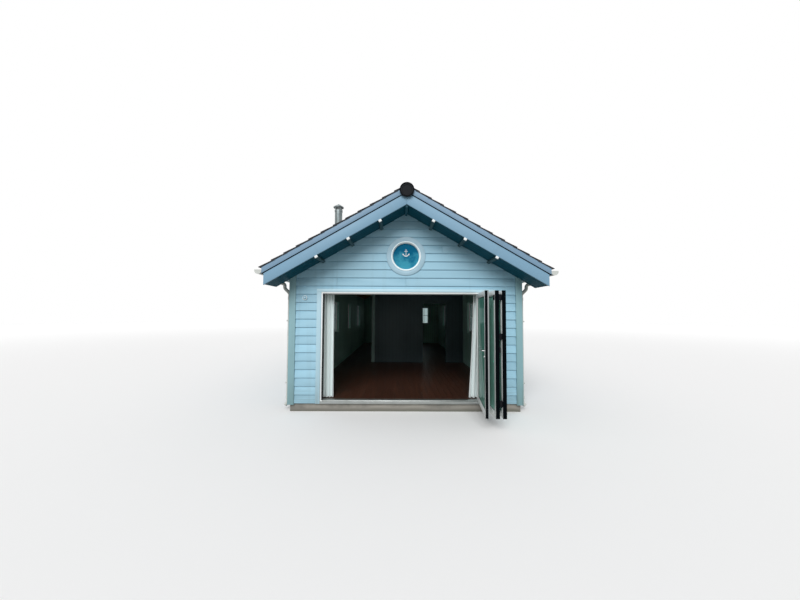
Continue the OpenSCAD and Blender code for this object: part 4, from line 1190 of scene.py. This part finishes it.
dress(join(door_seals()), "door_frame_seals", black_rubber, "black_plastic")


# %% Threshold with its track
def metal(name, level, dull, rough, along):
    """Rolled or cast metal, its fine lines along one axis, dulled in patches."""
    f = Finish(name)
    lines, cloud = f.noise(along), f.noise(2.2, 6, 0.65).fade(0.35, 0.7)
    base = f.mix(cloud * 0.6, rgb(*level), rgb(*dull))
    rough = rough + cloud * 0.15 + lines * 0.08
    return f.done(base, rough, f.bump(lines, 0.25, 0.0004), Metallic=0.9)


aluminium = metal("threshold_aluminium", (178, 182, 180), (138, 142, 138), 0.3, (2, 260, 260))
half, z = INNER - 0.002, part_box("threshold")[1].z
track = [FRAME_Y0 + y for y in (0.0255, 0.038, 0.0505)]
track = [thin((-half, y, z - 0.001), (half, y + 0.004, z)) for y in track]
threshold = join([from_cad("threshold", 0.0025), *track])
dress(threshold, "door_threshold", aluminium, "aluminium", "threshold")

# %% One leaf: timber, beads, gaskets, glass and black edge
LEAF_T, LEAF_W, LEAF_H = 0.064, 1.0503, 2.021
STILE, RAIL, BEAD, PANE_T = 0.078, 0.072, 0.014, 0.004
LEAF_END = LEAF_W - 0.003
PANE_OUT, PANE_IN = -0.044, -0.020
SEAL_STEP = 0.0205
LEAVES = [(1.577, 0.5), (1.4981, 2.2), (1.4321, 7.2)]
# How deep each leaf's glass is coloured; the paler leaves are a painted reflection of the sky.
PAINTED_REFLECTION_DEPTHS = (0.4, 0.0, 1.0)


def leaf_at(k):
    x, lean = LEAVES[k]
    return move(x, FRONT + 0.027, FLOOR_Z + 0.02) @ rotate(-lean - 90, "Z")


def in_opening(edge, y0, y1):
    """The corners of a rectangle inside a leaf's glazed opening, that far from its edge."""
    low = (STILE + edge, y0, RAIL + edge)
    return low, (LEAF_END - STILE - edge, y1, LEAF_H - RAIL - edge)


def leaf_white(k):
    yield from four_bars((0, -LEAF_T, 0), (LEAF_END, 0, LEAF_H), STILE, RAIL)
    for y0, y1 in ((-LEAF_T + 0.005, PANE_OUT), (PANE_IN, -0.005)):
        yield from four_bars(*in_opening(0, y0, y1), BEAD, BEAD, 0.004)


def leaf_strip(k):
    """A mid-grey strip beside the black seals of the last leaf."""
    yield thin((LEAF_END, -SEAL_STEP, 0), (LEAF_W, 0, LEAF_H))


def leaf_black(k):
    """Gaskets and spacer round the glass, and three seals on a backing, or two."""
    for y0, y1 in ((PANE_OUT - 0.003, PANE_OUT), (PANE_IN, PANE_IN + 0.003)):
        yield from four_bars(*in_opening(BEAD, y0, y1), 0.005, 0.005, 0.001, 1)
    between = (PANE_OUT + PANE_T, PANE_IN - PANE_T)
    yield from four_bars(*in_opening(0.001, *between), BEAD, BEAD, 0.001, 1)
    last = k == 2
    back = (LEAF_END + 0.0012, -0.021 if last else 0, LEAF_H)
    yield thin((LEAF_END, -LEAF_T, 0), back, 0.0003)
    for y0 in (-0.0635, -0.0420, -0.0205)[: 2 if last else 3]:
        yield thin((LEAF_END, y0, 0.002), (LEAF_W, y0 + SEAL_STEP, LEAF_H - 0.002))


def leaf_glass(k):
    for y0 in (PANE_OUT, PANE_IN - PANE_T):
        yield mark_faces(thin(*in_opening(0.001, y0, y0 + PANE_T), 0.0008), PAINTED_REFLECTION_DEPTHS[k])


# %% Hinges and handle
def leaf_hinges(k):
    """What joins this leaf to the next: plates at the frame, knuckles at the far end."""
    plate = LEAF_W - 0.058
    for z in (LEAF_H - 0.16, 1.235, 0.18):
        low, top = z + 0.006, z + 0.094
        if k == 0:
            yield thin((0.002, 0, low), (0.06, 0.0026, top))
            yield thin((plate, -LEAF_T - 0.0026, low), (LEAF_W, -LEAF_T, top))
        if k == 1:
            x, y = LEAF_W - 0.014, 0.0295
            yield thin((plate, 0, low), (LEAF_W, 0.003, top))
            yield thin((x - 0.005, 0, z), (x + 0.005, y, z + 0.1))
            for a, b in ((0, 0.029), (0.030, 0.070), (0.071, 0.1)):
                yield soften(rod((x, y, z + a), (x, y, z + b), 0.0128), 0.001)
            yield soften(rod((x, y, z - 0.0078), (x, y, z + 0.1078), 0.006, 16), 0.001)
        if k == 2:
            yield thin((0, 0, low), (0.024, 0.0017, top), 0.0006)
    if k == 1:
        low, top = LEAF_H - 0.152, LEAF_H - 0.067
        yield bar((LEAF_W - 0.075, -LEAF_T - 0.012, low), (LEAF_W - 0.011, -LEAF_T, top))
        yield bar((LEAF_W - 0.022, 0, 1.03), (LEAF_W - 0.002, 0.018, 1.12))
    if k == 2:
        pivot = (0.03, -LEAF_T / 2, LEAF_H)
        yield rod(pivot, (*pivot[:2], LEAF_H + 0.0027), 0.009, 20)


def leaf_handle(k):
    """A lever on a narrow plate, with its keyhole below."""
    x, y, z = LEAF_END - 0.039, -LEAF_T, 1.056
    yield bar((x - 0.014, y - 0.006, 0.93), (x + 0.014, y, 1.11))
    yield rod((x, y - 0.004, z), (x, y - 0.042, z), 0.008, 20)
    grip = [(x, y - 0.03, z), (x, y - 0.046, z), (x - 0.11, y - 0.046, z - 0.004)]
    yield tube(rounded_path(grip, 0.012), 0.0075, 4)
    yield rod((x, y - 0.004, 0.962), (x, y - 0.016, 0.962), 0.014, 20, 0.012)


def on_leaves(make, leaves=(0, 1, 2)):
    return join(placed(piece, leaf_at(k)) for k in leaves for piece in make(k))


# %% Glass for the doors
def glazing(name, pale_end, deep, clear, shine=0.5, bend=1.3):
    """Tinted glass: each pane's mark sets how deep its colour is, and the colour drifts in
    upright bands, and rain has left faint runs on it. On the door leaves the paler panes
    are a painted reflection of the sky."""
    f = Finish(name)
    cloud = f.noise((1.2, 4.5, 0.5)).fade(0.36, 0.64)
    base = f.mix(cloud * 0.3 + f.mark("board") * 0.7, pale_end, deep)
    rough = f.noise((9, 9, 0.6), 5).fade(0.45, 0.8) * 0.06 + 0.02
    return f.done(base, rough, Transmission_Weight=clear, IOR=bend, Specular_IOR_Level=shine)


# The pale end is a painted reflection of the sky, the deep end the glass's own colour.
reflected_and_deep_tints = rgb(196, 255, 242), rgb(44, 130, 112)
door_glazing = glazing("door_glazing", *reflected_and_deep_tints, 0.15, shine=0.1, bend=1.15)
for k in range(3):
    leaf, name = on_leaves(leaf_white, [k]), f"leaf_{k + 1}"
    dress(leaf, "folding_" + name, white_frame, "white_frame", "door_" + name)
dress(on_leaves(leaf_black), "leaf_seals", black_rubber, "black_plastic")
dress(on_leaves(leaf_hinges), "leaf_hinges", black_plastic, "black_plastic")
dress(on_leaves(leaf_glass), "leaf_glazing", door_glazing, "door_glass", "door_glass")
handle_steel = metal("handle_steel", (200, 202, 202), (160, 162, 162), 0.25, (3, 3, 200))
dress(on_leaves(leaf_handle, [2]), "leaf_handle", handle_steel, "aluminium")
strip_grey = moulded("strip_grey", rgb(146, 152, 154), 0.45, 0.1, 0.02)
dress(on_leaves(leaf_strip, [2]), "leaf_edge_strip", strip_grey, "aluminium")

# %% [markdown]
# ## The round window
# The frame is turned: a rounded outer edge, a step, and a bead that holds the glass. The
# glass is deep turquoise. A plain little anchor, the common sign of a harbour, is fixed to
# it: each of its parts is an outline drawn out by three millimetres.

# %% Frame and glass
PORT, PORT_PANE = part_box("round_window_frame"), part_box("round_window_glass")
PORT_R, PORT_DEEP = (PORT[1].x - PORT[0].x) / 2, PORT[1].y - PORT[0].y
port_profile = [(0, PORT_DEEP), (0, 0.010), (-0.003, 0.003), (-0.010, 0), (-0.018, 0.001)]
port_profile += [(-0.022, 0.006), (-0.022, 0.022), (-0.030, 0.024), (-0.036, 0.034)]
port_profile += [(-0.036, PORT_DEEP)]
port_frame = turned(about(PORT_R, -PORT_DEEP, *port_profile), 96, ring=True)
placed(port_frame, move(0, PORT[1].y, RING_Z) @ rotate(-90, "X"))
port_white = moulded("port_white", rgb(240, 252, 255), 0.35, 0.03)
dress(
    port_frame, "round_window_white_ring", port_white, "white_frame", "round_window_frame"
)

(x0, y0, _), (x1, y1, _) = PORT_PANE
half, pane_r = (y1 - y0) / 2, (x1 - x0) / 2
pane_profile = [(0, -half), (pane_r - 0.001, -half), (pane_r, 0.001 - half)]
pane_profile += [(pane_r, half - 0.001), (pane_r - 0.001, half), (0, half)]
pane_seat = move(0, (y0 + y1) / 2, RING_Z) @ rotate(90, "X")
round_pane = placed(turned(pane_profile, 96), pane_seat)


def port_glass():
    """Turquoise, paler towards its foot, where it mirrors the sky."""
    f = Finish("round_window_glazing")
    low = f.noise(5.5, 4, 0.6) - (f.axis("Z") - RING_Z) * 0.9
    base = f.mix(low.fade(0.42, 0.78), rgb(6, 104, 142), rgb(66, 160, 186))
    return f.done(base, 0.08, Transmission_Weight=0.15, Specular_IOR_Level=0.1, IOR=1.25)


dress(round_pane, "round_window_lens", port_glass(), "round_glass", "round_window_glass")


# %% A plain anchor
def anchor():
    thick = 0.003
    outlines = [
        [(-0.006, -0.064), (0.006, -0.064), (0.0045, 0.047), (-0.0045, 0.047)],
        [(-0.036, 0.028), (0.036, 0.028), (0.036, 0.037), (-0.036, 0.037)],
        arc(0.059, 112, 248, 24, (0, -0.012)) + arc(0.046, 248, 112, 24, (0, -0.008)),
        *([(s * 0.038, -0.036), (s * 0.058, -0.002), (s * 0.071, -0.038)] for s in (-1, 1)),
    ]
    backs = (-0.0001, 0.0002, 0.0003, 0.0006, 0.0006)
    parts = [prism(outline, back, thick) for outline, back in zip(outlines, backs)]
    eye = turned([(0.0075, 0), (0.0135, 0), (0.0135, thick), (0.0075, thick)], 32, ring=True)
    parts.append(placed(eye, move(0, thick, 0.0585) @ rotate(90, "X")))
    return join(soften(part, 0.0006, 1) for part in parts)


fixed = placed(anchor(), move(0, PORT_PANE[0].y - 0.003, RING_Z + 0.067))
dress(fixed, "window_ornament", white_paint, "white_timber")

# %% [markdown]
# ## The casement windows
# Each light is a sash in a frame, with a dark gap of 2.5 mm round it that shows it can
# open. Glazing bars divide the light in four, inside and out. The panes of the CAD model
# stay: they are already plain sheets of the right size, and get glass of their own.

# %% Frames, sashes, bars and catches
SASH_DEEP, OUTER, GAP = 0.09, 0.024, 0.0025
SASH, MEETING, HALF_BAR = 0.0355, 0.0165, 0.011
PANE_Y = (0.033, 0.057)


def lights_of(width):
    """The lights of a window, each as the X of its two sides, between frame members."""
    if width < 0.8:
        return [(OUTER - width / 2, width / 2 - OUTER)]
    return [(OUTER - width / 2, -OUTER / 2), (OUTER / 2, width / 2 - OUTER)]


def window_frame(width):
    half = width / 2
    yield from four_bars((-half, 0.006, 0), (half, SASH_DEEP, WINDOW_H), OUTER, OUTER, 0.002)
    if width > 0.8:
        yield bar((-OUTER / 2, 0.006, OUTER), (OUTER / 2, SASH_DEEP, WINDOW_H - OUTER), 0.002)


def window_sashes(width):
    low, high = OUTER + GAP, WINDOW_H - OUTER - GAP
    for x0, x1 in lights_of(width):
        left, right = SASH if x0 < -OUTER else MEETING, SASH if x1 > OUTER else MEETING
        a, b = x0 + GAP, x1 - GAP
        yield from four_bars((a, 0, low), (b, 0.064, high), (left, right), SASH)
        p, q, r, s = a + left, b - right, low + SASH, high - SASH
        x, z = (p + q) / 2, (r + s) / 2
        for y0, y1 in ((0.014, PANE_Y[0]), (PANE_Y[1], 0.062)):
            yield thin((x - HALF_BAR, y0, r), (x + HALF_BAR, y1, s), 0.003)
            yield thin((p, y0 + 0.0005, z - HALF_BAR), (q, y1, z + HALF_BAR), 0.003)


def window_gaps(width):
    """The dark rubber in the gap between a sash and its frame."""
    for x0, x1 in lights_of(width):
        ends = ((x0, 0.012, OUTER), (x1, 0.060, WINDOW_H - OUTER))
        yield from four_bars(*ends, 0.0026, 0.0026, 0.0002, 1)


def window_catches(width):
    for x0, x1 in lights_of(width):
        x = x0 + 0.02 if x1 > 0.1 and width > 0.8 else x1 - 0.02
        yield thin((x - 0.010, 0.064, 0.44), (x + 0.010, 0.070, 0.50), 0.002)
        yield thin((x - 0.007, 0.068, 0.40), (x + 0.007, 0.082, 0.49), 0.003)


frames = join([at_windows(window_frame), at_windows(window_sashes)])
dress(frames, "casement_frames", white_frame, "white_frame", "window_frames")
dress(at_windows(window_gaps), "casement_seals", black_rubber, "black_plastic")
dress(at_windows(window_catches), "casement_catches", handle_steel, "aluminium")

# %% [markdown]
# ## Inside the hut
# Through the doors one sees dark floorboards, the lining of the walls and a pair of
# curtains. Cloth is a sheet with no stuffing, so a curtain is drawn as one: a row of
# folds whose length, pulled straight, is the width that the cloth was cut to.


# %% Floorboards
def floor_boards():
    (x0, y0, z0), (x1, y1, z1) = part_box("floor")
    thick, run = 0.02, 3.4
    count = round((x1 - x0) / 0.1211)
    wide = (x1 - x0) / count
    one = soften(block((0, 0.0006, -thick), (1, wide - 0.0006, 0)), 0.0015, 1)
    boards = [block((x0, y0, z0), (x1, y1, z1 - thick))]
    for k in range(count):
        joint, place = y0 + 0.7 + (k * 1.7) % run, move(x0 + (k + 1) * wide, 0, z1)
        boards += boards_along_y(one, y0 + 0.001, y1 - 0.001, joint, run, place, 0.0005)
    bpy.data.objects.remove(one)
    return join(boards)


def floor_wood():
    f = Finish("floor_wood")
    fibre = f.noise((42, 1.1, 42), 7, 0.62, 0.7)
    base = f.mix(fibre.fade(0.25, 0.75), rgb(40, 24, 18), rgb(84, 52, 38))
    base = f.mix(f.mark("board") * 0.45, base, rgb(62, 36, 26))
    return f.done(base, 0.32 + fibre * 0.15, f.bump(fibre, 0.3, 0.0006))


dress(floor_boards(), "interior_floor_boards", floor_wood(), "floor_boards", "floor")


# %% Linings for the walls that stay as they are in the CAD model
def lining(name, colour, dark, step=0.12):
    """Upright matchboards, painted: a shallow V joint every so often, and a soft sheen.
    What shows of a wall's outer face, above the weatherboards, has the colour outside."""
    f = Finish(name)
    colour, dark = rgb(*colour), rgb(*dark)
    beside, beyond = f.axis("X").size() > HALF_W - 0.004, f.axis("Y").size() > REAR - 0.004
    along = f.axis("X") + f.axis("Y") + 60
    joint = (along.maths("MODULO", along, step) / step - 0.5).size().fade(0.455, 0.495)
    fibre, drift = f.noise((45, 45, 1.2), 5, 0.6), f.noise(0.7, 4).fade(0.3, 0.7)
    base = f.mix(drift * 0.6 + fibre * 0.3, colour, dark)
    base = f.mix(joint, base, shade(dark, 0.45))
    base = f.mix(beside.maths("MAXIMUM", beside, beyond), base, LAP_BLUE)
    bumps = f.bump(1 - joint, 0.8, 0.003, f.bump(fibre, 0.4, 0.0006))
    return f.done(base, 0.5 + drift * 0.12, bumps)


def concrete():
    """Cast concrete, damp and green at its foot."""
    f = Finish("base_concrete")
    cloud = f.noise(2.2, 6, 0.6).fade(0.3, 0.72)
    base = f.mix(cloud, rgb(158, 154, 146), rgb(120, 118, 112))
    base = f.mix((f.axis("Z") + cloud * 0.05).fade(0.03, 0.10, 0.6, 0.0), base, rgb(76, 80, 68))
    return f.done(base, 0.88, f.bump(f.noise(55, 4, 0.7), 0.7, 0.003))


def repaint(finish, *nodes):
    """Give CAD nodes whose shape is right a finish of their own."""
    for node in nodes:
        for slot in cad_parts[node].material_slots:
            slot.material = finish
    print("painted", *nodes)


inner_wall = lining("inner_wall", (170, 210, 196), (146, 184, 174))
repaint(inner_wall, "front_wall_left", "front_wall_right", "front_gable")
repaint(inner_wall, "left_wall", "right_wall", "rear_wall")
repaint(lining("partition_boards", (38, 64, 68), (28, 48, 54)), "partition")
repaint(lining("pale_post", (150, 172, 166), (120, 142, 138)), "partition_post")
# The boxed verges take the soffit's dark teal, which is painted shade.
repaint(shaded_soffit_paint, "boxed_verges")
repaint(glazing("window_glazing", rgb(176, 196, 196), rgb(150, 176, 178), 0.9), "window_glass")
repaint(concrete(), "base")


# %% Curtains
def pull_straight(row):
    return sum((b - a).length for a, b in zip(row, row[1:]))


def curtain(node, wide, flare, across=112, down=48):
    """A drawn-back curtain: uneven folds, that wander on their way down."""
    low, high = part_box(node)
    outer, inwards = (low.x, 1) if low.x < 0 else (high.x, -1)
    middle, folds = (low.y + high.y) / 2, round(wide / 0.057)

    def point(u, t):
        wander = 0.55 * sin(2.9 * t + 4.1 * u) * t + 0.9 * sin(4.4 * u + 0.8)
        angle = tau * folds * u + wander + 0.6
        depth = 0.034 + 0.010 * sin(7.3 * u + 1.7 + t) * (0.5 + 0.5 * t)
        x = outer + inwards * ((wide - 0.010 + flare * t**1.2) * u + 0.005)
        x += inwards * 0.004 * sin(2 * angle)
        return Vector((x, middle + depth * sin(angle), high.z + (low.z - high.z) * t))

    rows = [[point(c / across, r / down) for c in range(across + 1)] for r in range(down + 1)]
    corners = [corner for row in rows for corner in row]
    step = across + 1
    starts = [r * step + c for r in range(down) for c in range(across)]
    piece = from_outline(corners, faces=[(k, k + 1, k + step + 1, k + step) for k in starts])
    cut = [pull_straight(row) for row in rows]
    layer = piece.data.uv_layers.new(name="cloth")
    for loop in piece.data.loops:
        k = loop.vertex_index
        layer.data[loop.index].uv = ((k % step) / across * cut[0], corners[k].z)
    print(f"{node}: cloth {min(cut):.2f} to {max(cut):.2f} m wide, {high.z - low.z:.2f} m long")
    return piece, (sum(cut) / len(cut), high.z - low.z)


def cloth_finish():
    """A plain weave, drawn on the cloth's own flat measure."""
    f = Finish("curtain_cloth")
    f.place = f.add("TexCoord", out="UV")
    warp, weft = f.noise((900, 9, 1), 2), f.noise((9, 900, 1), 2)
    tone = warp * 0.4 + weft * 0.4 + f.noise((6, 60, 1), 4) * 0.2
    base = f.mix(tone, rgb(238, 248, 248), rgb(247, 254, 254))
    return f.done(base, 0.9, f.bump(warp + weft, 0.25, 0.0006), Sheen_Weight=0.25)


cloth = cloth_finish()
for node, wide, flare in (("curtain_left", 0.24, 0.0), ("curtain_right", 0.30, 0.10)):
    piece, flat = curtain(node, wide, flare)
    dress(piece, "drawn_" + node, cloth, "curtain_cloth", node, angle=80)


# %% Curtain rail, its rings and brackets
def curtain_rail():
    low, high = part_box("curtain_rail")
    radius, z, reach = (high.z - low.z) / 2, (low.z + high.z) / 2, high.x
    y = high.y - radius
    yield rod((0.02 - reach, y, z), (reach - 0.02, y, z), radius - 0.001)
    knob = [(0, 0)]
    knob += about(radius, 0, (-0.004, 0), (0, 0.003), (0, 0.012), (-0.005, 0.015))
    knob += about(radius, 0, (-0.003, 0.020), (0, 0.026), (-0.004, 0.033)) + [(0, 0.036)]
    for hand in (-1, 1):
        seat = move(hand * (reach - 0.036), y, z) @ rotate(hand * 90, "Y")
        yield placed(turned(knob, 24), seat)
    for x in (0.03 - reach, 0, reach - 0.03):
        yield thin((x - 0.008, low.y, z - 0.008), (x + 0.008, y, z + 0.008), 0.002)
        yield thin((x - 0.02, low.y, z - 0.028), (x + 0.02, low.y + 0.005, z + 0.028), 0.002)
    wire = [(0.0135, -0.0015), (0.0165, -0.0015), (0.0165, 0.0015), (0.0135, 0.0015)]
    for hand, first, step in ((-1, 1.43, 0.035), (1, 1.37, 0.045)):
        for k in range(7):
            seat = move(hand * (first + k * step), y, z - 0.001) @ rotate(90, "Y")
            yield placed(turned(wire, 20, ring=True), seat)


rail_metal = metal("rail_metal", (150, 150, 148), (110, 110, 108), 0.35, (3, 200, 200))
dress(join(curtain_rail()), "curtain_rail_dressed", rail_metal, "aluminium", "curtain_rail")

# %% [markdown]
# ## The lamp beside the doors
# A small bulkhead lamp: a white ring with a rounded rim, and a domed cover of pale glass
# under two bars.


# %% Lamp
def bow(reach, foot, rise, stop):
    """Points on a flattened arc, from its right-hand foot, nine degrees apart."""
    angles = [radians(angle) for angle in range(0, stop, 9)]
    return [(reach * cos(a), foot + rise * sin(a)) for a in angles]


low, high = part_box("wall_lamp")
radius, deep = (high.x - low.x) / 2, high.y - low.y
dome_r = radius - 0.012
body = [(0, 0), *about(radius, 0, (-0.002, 0), (0, 0.002), (0, 0.010), (-0.003, 0.013))]
rim = [(-0.003, 0.52), (-0.001, 0.56), (-0.001, 0.64)]
rim += [(-0.005, 0.69), (-0.010, 0.69), (-0.012, 0.62)]
body = turned(body + [(radius + r, deep * share) for r, share in rim] + [(0, deep * 0.62)])
dome = [(dome_r, deep * 0.6), *bow(dome_r, deep * 0.62, deep * 0.35, 90), (0, deep * 0.97)]
dome = turned(dome)
hoop = bow(radius - 0.008, deep * 0.64, deep * 0.34, 181)
guard = tube([(x, 0, z) for x, z in hoop], 0.0018, 3)
cross = copy_at(guard, rotate(90, "Z"))
lamp_seat = move((low.x + high.x) / 2, high.y, (low.z + high.z) / 2) @ rotate(90, "X")
for piece in (body, dome, guard, cross):
    placed(piece, lamp_seat)

lamp_white = moulded("lamp_white", rgb(232, 242, 245), 0.35, 0.12, shine=0.3)
dress(join([body, guard, cross]), "bulkhead_lamp", lamp_white, "lamp", "wall_lamp")
opal = moulded("lamp_glass", rgb(136, 186, 208), 0.2, 0.06, 0.02, 0.4)
dress(dome, "bulkhead_lamp_glass", opal, "lamp")
